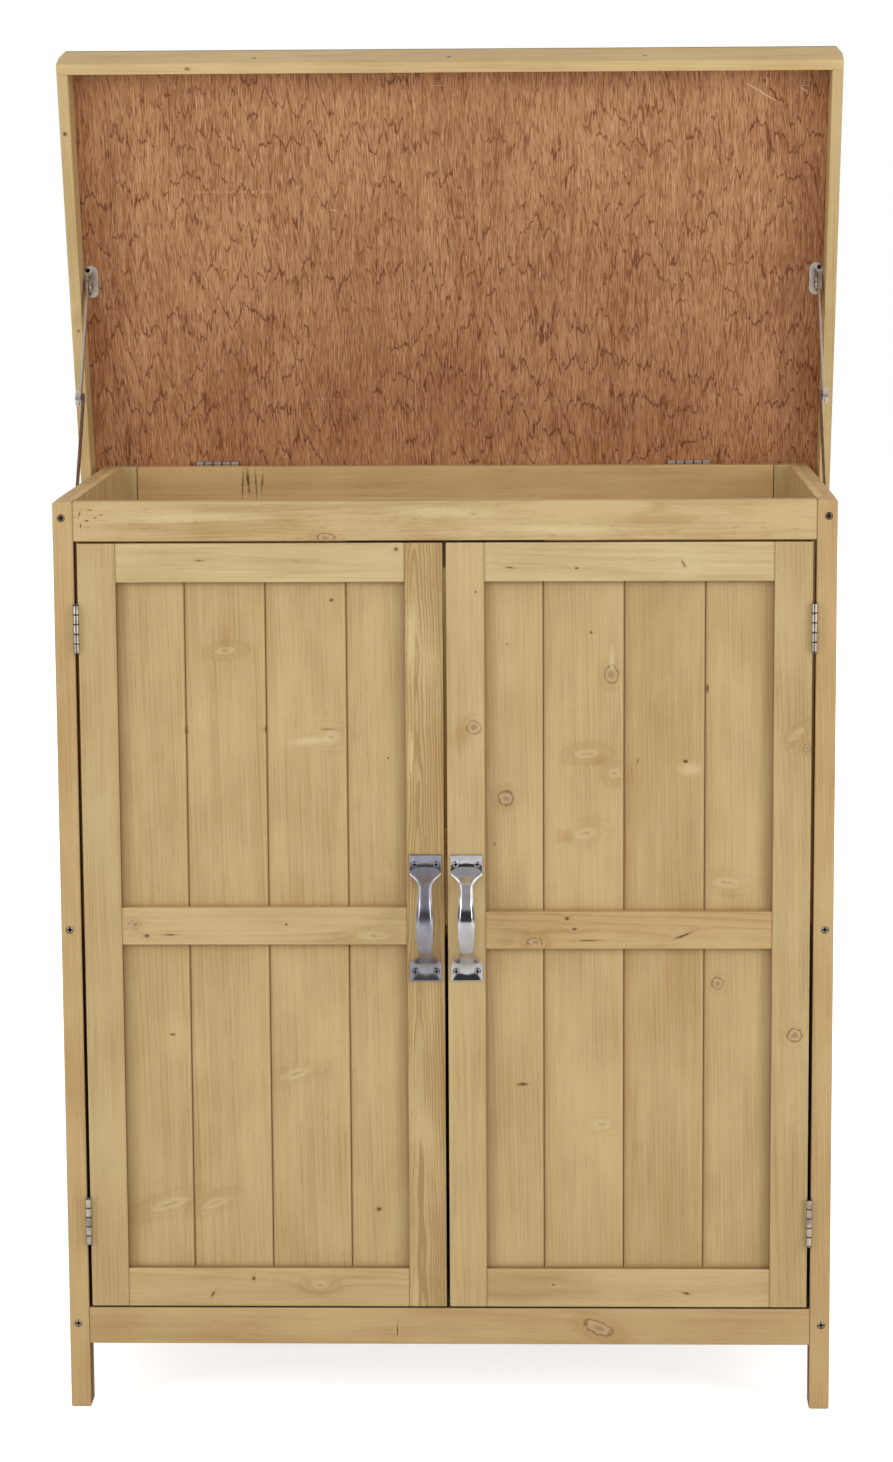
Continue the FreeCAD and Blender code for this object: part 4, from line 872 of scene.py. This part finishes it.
def metal(name, bright, dull, roughness, spread, seed=0.0, joints=None):
    """Plated or bare metal with smudges. Joints are dark lines of painted shade between a hinge's
    knuckles: the direction of its pin and the middles of the two hinges on it."""
    finish = Finish(name)
    place = finish.place()
    smudge = finish.noise(place, 9.0, 3.0, seed)
    speck = finish.noise(place, 0.8, 2.0, seed + 1)
    colour = finish.mix(smudge.step(0.3, 0.8), bright, dull)
    if joints:
        direction, lower, upper = joints
        along = place.along(direction)
        which = finish.math("GREATER_THAN", along, (lower + upper) / 2)
        off_middle = along - lower - which * (upper - lower)
        off_joint = abs((off_middle / KNUCKLE).math("FRACT") - 0.5) * KNUCKLE
        # Painted shade in the gaps between the knuckles.
        colour = finish.mix(off_joint.step(1.1, 0.4) * 0.9, colour, paint(44, 36, 32))
    return finish.surface(Base_Color=colour, Metallic=1.0, Roughness=roughness + smudge * spread,
                          Normal=finish.bump(speck, 0.3, 0.00005))


# The two handles are the same chrome. The left one is darker, bluer and rougher: a shaded copy, painted to
# stand for the darker reflections it shows.
chrome = {
    "left": metal("chrome_left_handle", paint(178, 177, 187), paint(158, 156, 168), 0.16, 0.14),
    "right": metal("chrome_right_handle", paint(214, 212, 214), paint(196, 193, 197), 0.06, 0.08, 2.0),
}
zinc = metal("plated_steel", paint(234, 232, 228), paint(204, 200, 194), 0.24, 0.16, 3.0)
upper_arm_steel = metal("upper_arm_steel", paint(244, 240, 232), paint(216, 208, 196), 0.26, 0.16, 4.0)
lower_arm_steel = metal("lower_arm_steel", paint(156, 134, 120), paint(102, 85, 74), 0.26, 0.16, 5.0)
screw_steel = metal("screw_steel", paint(224, 218, 210), paint(184, 176, 168), 0.2, 0.16, 7.0)
door_hinge = metal("door_hinge_steel", paint(216, 208, 200), paint(158, 148, 138), 0.22, 0.2, 9.0,
                   (Z, 203.5, 830.0))
lid_hinge = metal("lid_hinge_steel", paint(236, 232, 226), paint(200, 192, 184), 0.26, 0.2, 11.0,
                  (X, -271.5, 266.5))

for part in ("frame_leaves", "moving_leaves", "hinge_pins"):
    wear(f"lid_{part}", lid_hinge)
    for hand in HANDS:
        wear(f"{hand}_door_{part}", door_hinge)
for hand in HANDS:
    wear(f"{hand}_strike_plate", zinc)
    wear(f"stay_side_plate_{hand}", zinc)
    wear(f"stay_lid_bracket_{hand}", zinc)
    wear(f"stay_upper_arm_{hand}", upper_arm_steel)
    wear(f"stay_lower_arm_{hand}", lower_arm_steel)
wear("lid_fasteners", metal("dark_screw_steel", paint(112, 104, 100), paint(70, 64, 62), 0.3, 0.2, 13.0))


# %% Catches
def catch_plastic():
    finish = Finish("catch_plastic")
    grain = finish.noise(finish.place(), 0.7, 2.0)
    cloud = finish.noise(finish.place(), 18.0, 2.0, 4)
    return finish.surface(Base_Color=finish.mix(cloud, paint(92, 62, 42), paint(72, 48, 34)),
                          Roughness=0.42 + grain * 0.12, Normal=finish.bump(grain, 0.2, 0.0001))


wear("magnet_catches", catch_plastic())

# %% [markdown]
# Some pieces are finer than their solids: a screw has a domed head with a cross in it. The CAD group
# is read once, split into its separate screws, and each gets a head where its own head is.


# %% Finding the single pieces of a group
def single_pieces(node):
    """The lowest and highest corner of each separate solid of a CAD group, from left to right."""
    shape = bmesh.new()
    shape.from_mesh(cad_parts[node].data)
    bmesh.ops.remove_doubles(shape, verts=shape.verts, dist=0.00001)
    waiting = set(shape.verts)
    found = []
    while waiting:
        front = [waiting.pop()]
        members = list(front)
        while front:
            corner = front.pop()
            for edge in corner.link_edges:
                other = edge.other_vert(corner)
                if other in waiting:
                    waiting.remove(other)
                    front.append(other)
                    members.append(other)
        low = Vector(min(member.co[i] for member in members) for i in range(3))
        high = Vector(max(member.co[i] for member in members) for i in range(3))
        found.append((low, high))
    shape.free()
    return sorted(found, key=lambda corners: tuple(corners[0]))


for group in ("frame_screws", "left_handle_screws", "right_handle_screws"):
    print(group, "holds", len(single_pieces(group)), "screws")


# %% A new piece
def new_piece(name, shape, *materials):
    """Turn a drawn shape into a piece of the scene, with its materials."""
    mesh = bpy.data.meshes.new(name)
    shape.to_mesh(mesh)
    shape.free()
    for material in materials:
        mesh.materials.append(material)
    piece = bpy.data.objects.new(name, mesh)
    bpy.context.scene.collection.objects.link(piece)
    print(name, "has", len(mesh.vertices), "corners")
    return piece


# %% Painted shade in the recesses
def painted_recess_shade():
    """Painted shade: the dark in a screw's cross and round its head."""
    finish = Finish("recess_shade")
    cloud = finish.noise(finish.place(), 1.2, 2.0)
    return finish.surface(Base_Color=finish.mix(cloud, paint(34, 27, 24), paint(62, 50, 42)),
                          Roughness=0.7 + cloud * 0.2, Normal=finish.bump(cloud, 0.3, 0.0001))


recess_shade = painted_recess_shade()


# %% [markdown]
# A screw is a row of rings of points round its axis, joined into faces: the bottom of the cross, its
# rim, the dome, the seat in the wood and the shank. All rings have their points in the same
# directions, so that each strip between two of them is made of plain four-sided faces.

# %% Screw heads
AROUND = 24
CROSS_REACH, CROSS_ARM, CROSS_TAPER, CROSS_DEPTH, CROSS_RIM = 0.64, 0.23, 0.7, 0.5, 0.04
DOME = ((0.68, 0.16), (0.84, 0.55), (1.0, 1.0))


def circle(radius):
    turns = [2 * math.pi * (index + 0.5) / AROUND for index in range(AROUND)]
    return [(radius * math.cos(turn), radius * math.sin(turn)) for turn in turns]


def cross_outline(radius, slot):
    """Points of a cross-shaped recess, in the same directions as those of a circle."""
    points = []
    for x, y in circle(1.0):
        narrower = min(abs(x), abs(y))
        reach = radius if narrower * radius < slot else slot / narrower
        points.append((x * reach, y * reach))
    return points


def add_screw(shape, head, axis, radius, dome, shank, length):
    """One domed screw, its head's outer face at head, its axis pointing out of the wood."""
    turn = axis.to_track_quat("Z", "Y").to_matrix()
    cross = cross_outline(radius * CROSS_REACH, radius * CROSS_ARM)
    levels = [([(x * CROSS_TAPER, y * CROSS_TAPER) for x, y in cross], radius * CROSS_DEPTH)]
    levels.append((cross, radius * CROSS_RIM))
    levels += [(circle(radius * share), dome * fall) for share, fall in DOME]
    levels += [(circle(shank), dome * 2.0), (circle(shank), length)]
    rings = [[shape.verts.new(head + turn @ Vector((x, y, -depth))) for x, y in outline]
             for outline, depth in levels]
    strips = []
    for inner, outer in zip(rings, rings[1:]):
        strips.append([])
        for index in range(AROUND):
            after = (index + 1) % AROUND
            strips[-1].append(shape.faces.new((inner[index], outer[index], outer[after], inner[after])))
    bottom = shape.faces.new(list(reversed(rings[0])))
    shape.faces.new(rings[-1])
    # The cross and the outer ring of the dome get the painted shade.
    recess, seat = strips[0], strips[3]
    for face in (*recess, *seat, bottom):
        face.material_index = 1


def screws(name, node, body, radius, dome, shank, material, slot):
    """Replace a group of plain screws, each with its head at the end that points out of the cabinet."""
    shape = bmesh.new()
    for low, high in single_pieces(node):
        middle = (low + high) / 2
        size = high - low
        if size.y > size.x:
            head, axis, length = Vector((middle.x, low.y, middle.z)), -Y, size.y
        else:
            outward = 1 if middle.x > 0 else -1
            head = Vector((high.x if outward > 0 else low.x, middle.y, middle.z))
            axis, length = X * outward, size.x
        add_screw(shape, head, axis, radius, dome, shank, length)
    bmesh.ops.recalc_face_normals(shape, faces=shape.faces)
    piece = new_piece(name, shape, material, recess_shade)
    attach(piece, body)
    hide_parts(node)


# The head's radius, the height of its dome, and the shank's radius.
FRAME_SCREW = (4.3 * MM, 1.2 * MM, 1.9 * MM)
HANDLE_SCREW = (3.3 * MM, 1.3 * MM, 1.6 * MM)

screws("frame_screw_set", "frame_screws", "cabinet", *FRAME_SCREW, screw_steel, "dark_steel")
for hand in HANDS:
    screws(f"{hand}_handle_screw_set", f"{hand}_handle_screws", f"{hand}_door", *HANDLE_SCREW,
           chrome[hand], "chrome_handle")

# %% [markdown]
# Each stay hangs on a pressed bracket under the lid: a plate with round ends, and an ear folded down
# from it that carries the pivot. The outlines are drawn flat and given their thickness.

# %% Stay brackets
PIVOT_REACH = 218.0
PIVOT_DROP = 12.0
PANEL_UNDERSIDE = 2.8
PLATE_HALF_LENGTH, PLATE_RADIUS, PLATE_THICKNESS = 19.0, 7.3, 1.5
EAR_RADIUS, EAR_THICKNESS = 9.0, 2.0
RIVET = ((0.0, 3.0, 4.0), (2.0, 3.4, 2.5), (5.38, 0.8, 4.0))  # start beside the ear, length, radius


def arc(centre, first, second, radius, start, end, steps):
    """Points of an arc round centre, with its angles counted from first towards second."""
    angles = [start + (end - start) * step / steps for step in range(steps + 1)]
    return [centre + (first * math.cos(angle) + second * math.sin(angle)) * radius for angle in angles]


def round_ended(centre, along, across, half_length, radius):
    """The outline of a plate with two round ends, as points round it."""
    outline = []
    for end in (1, -1):
        middle = centre + along * end * (half_length - radius)
        outline += arc(middle, along * end, across * end, radius, -math.pi / 2, math.pi / 2, 12)
    return outline


def add_slab(shape, outline, thickness):
    """Fill an outline and give it its thickness, with a soft arris."""
    near = [shape.verts.new(point * MM) for point in outline]
    far = [shape.verts.new((point + thickness) * MM) for point in outline]
    faces = [shape.faces.new(near), shape.faces.new(list(reversed(far)))]
    for index in range(len(outline)):
        after = (index + 1) % len(outline)
        faces.append(shape.faces.new((near[after], near[index], far[index], far[after])))
    rims = [edge for face in faces[:2] for edge in face.edges]
    bmesh.ops.bevel(shape, geom=rims, offset=0.3 * MM, segments=2, affect="EDGES")


def stay_bracket(hand, side):
    """One bracket: its plate under the lid, its ear, and the rivet that the upper arm turns on."""
    low, high = (Vector(corner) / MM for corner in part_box(f"stay_lid_bracket_{hand}"))
    outer = high.x if side > 0 else -low.x
    inner = low.x if side > 0 else -high.x
    on_axis = LID_AXIS + LID_FRONTWARD * PIVOT_REACH
    under_plate = on_axis + LID_UPWARD * (PANEL_UNDERSIDE - PLATE_THICKNESS)
    ear_top = on_axis + LID_UPWARD * PANEL_UNDERSIDE + X * side * inner
    pivot = on_axis - LID_UPWARD * PIVOT_DROP + X * side * inner
    shape = bmesh.new()
    plate = round_ended(under_plate + X * side * (outer - PLATE_RADIUS), LID_FRONTWARD, X,
                        PLATE_HALF_LENGTH, PLATE_RADIUS)
    add_slab(shape, plate, LID_UPWARD * PLATE_THICKNESS)
    ear = [ear_top + LID_FRONTWARD * EAR_RADIUS, ear_top - LID_FRONTWARD * EAR_RADIUS]
    ear += arc(pivot, -LID_FRONTWARD, -LID_UPWARD, EAR_RADIUS, 0.0, math.pi, 12)
    add_slab(shape, ear, X * side * EAR_THICKNESS)
    for start, length, radius in RIVET:
        rim = arc(pivot + X * side * start, LID_FRONTWARD, LID_UPWARD, radius, 0.0, 2 * math.pi, 24)
        add_slab(shape, rim[:-1], X * side * length)
    bmesh.ops.recalc_face_normals(shape, faces=shape.faces)
    piece = new_piece(f"{hand}_stay_bracket", shape, zinc)
    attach(piece, "lid")
    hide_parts(f"stay_lid_bracket_{hand}")


for hand, side in zip(HANDS, (-1, 1)):
    stay_bracket(hand, side)

# %% [markdown]
# The handle is one casting: a dished foot at each end, flaring into a bow with a flat top and
# bevelled flanks. It could be cut from solids, but its surfaces flow into each other, so it is drawn
# as a row of cross sections along its length and smoothed by subdivision. Each section has the same
# number of points over its top and under it, which keeps the mesh a clean grid.

# %% Handle
BOW_HALF_LENGTH = 45.0
FLANK_START = 0.6
UNDERSIDE_SHARE = 0.92
CREASE_ANGLE, CREASE = math.radians(24), 0.55
ACROSS = (-1.0, -0.9, -0.68, -0.4, 0.0, 0.4, 0.68, 0.9, 1.0)
HANDLE_SECTIONS = (
    # in mm: place along it, half width, height in the middle, height at the edge, dish, underside
    (67.0, 16.2, 1.2, 1.8, 0.0, 0.0),
    (66.3, 16.8, 2.4, 2.9, 0.1, 0.0),
    (64.0, 16.7, 1.6, 2.8, 0.3, 0.0),
    (60.0, 16.3, 1.3, 2.7, 0.9, 0.0),
    (55.6, 16.2, 1.4, 2.7, 1.2, 0.0),
    (52.6, 16.3, 2.0, 2.8, 1.1, 0.0),
    (49.8, 16.6, 3.4, 3.0, 0.8, 0.0),
    (46.6, 16.2, 5.8, 3.8, 0.3, 0.0),
    (43.8, 13.2, 9.0, 6.4, 0.0, 0.6),
    (41.2, 10.0, 12.6, 9.8, 0.0, 3.2),
    (38.6, 8.0, 16.2, 13.6, 0.0, 7.4),
    (35.2, 7.2, 19.9, 17.4, 0.0, 12.2),
    (30.2, 7.2, 24.0, 21.2, 0.0, 17.0),
    (23.6, 7.6, 28.0, 24.9, 0.0, 21.4),
    (15.6, 8.3, 31.1, 28.0, 0.0, 24.8),
    (7.4, 8.8, 32.6, 29.8, 0.0, 26.6),
    (0.0, 8.9, 33.0, 30.6, 0.0, 27.0),
    (-7.4, 8.8, 32.6, 30.8, 0.0, 26.6),
    (-15.6, 8.4, 31.1, 29.6, 0.0, 24.8),
    (-23.6, 7.7, 28.0, 26.6, 0.0, 21.4),
    (-30.2, 7.2, 24.0, 22.8, 0.0, 17.0),
    (-35.2, 7.1, 19.9, 18.8, 0.0, 12.2),
    (-38.6, 7.6, 16.2, 15.0, 0.0, 7.4),
    (-41.2, 9.6, 12.6, 11.0, 0.0, 3.2),
    (-43.8, 13.2, 9.0, 6.8, 0.0, 0.6),
    (-46.6, 16.2, 5.8, 3.8, 0.3, 0.0),
    (-49.8, 16.6, 3.4, 3.0, 0.8, 0.0),
    (-52.6, 16.3, 2.0, 2.8, 1.1, 0.0),
    (-55.6, 16.2, 1.4, 2.7, 1.2, 0.0),
    (-60.0, 16.3, 1.3, 2.6, 0.9, 0.0),
    (-64.0, 16.7, 1.5, 2.5, 0.3, 0.0),
    (-66.3, 16.8, 1.9, 2.5, 0.1, 0.0),
    (-67.0, 16.2, 1.0, 1.6, 0.0, 0.0),
)


def handle(hand):
    """One casting from its row of cross sections, smoothed by subdivision."""
    low, high = (Vector(corner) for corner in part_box(f"{hand}_handle"))
    middle = (low + high) / 2
    door_face = high.y
    shape = bmesh.new()
    rows = []
    for along, half, rise, edge, dish, under in HANDLE_SECTIONS:
        row = []
        on_bow = abs(along) < BOW_HALF_LENGTH
        for share in ACROSS:
            flank = max(0.0, (abs(share) - FLANK_START) / (1.0 - FLANK_START))
            fall = flank if on_bow else share ** 2
            height = rise + (edge - rise) * fall - dish * math.sin(math.pi * abs(share)) ** 2
            row.append(shape.verts.new((middle.x + share * half * MM, door_face - height * MM,
                                        middle.z + along * MM)))
        for share in reversed(ACROSS):
            aside = share * half * UNDERSIDE_SHARE * MM
            row.append(shape.verts.new((middle.x + aside, door_face - under * MM, middle.z + along * MM)))
        rows.append(row)
    around = len(rows[0])
    for first, second in zip(rows, rows[1:]):
        for index in range(around):
            after = (index + 1) % around
            shape.faces.new((first[index], first[after], second[after], second[index]))
    shape.faces.new(rows[0])
    shape.faces.new(list(reversed(rows[-1])))
    bmesh.ops.recalc_face_normals(shape, faces=shape.faces)
    crease = shape.edges.layers.float.new("crease_edge")
    for edge in shape.edges:
        if edge.calc_face_angle(0.0) > CREASE_ANGLE:
            edge[crease] = CREASE
    for face in shape.faces:
        face.smooth = True
    piece = new_piece(f"{hand}_bow_handle", shape, chrome[hand])
    rounding = piece.modifiers.new("rounding", "SUBSURF")
    rounding.levels = 2
    rounding.render_levels = 2
    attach(piece, f"{hand}_door")
    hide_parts(f"{hand}_handle")


for hand in HANDS:
    handle(hand)

# %% [markdown]
# Last, the scene is brought up to date. The finishes and castings may not change the cabinet's size.

# %% Bringing the scene up to date
bpy.context.view_layer.update()
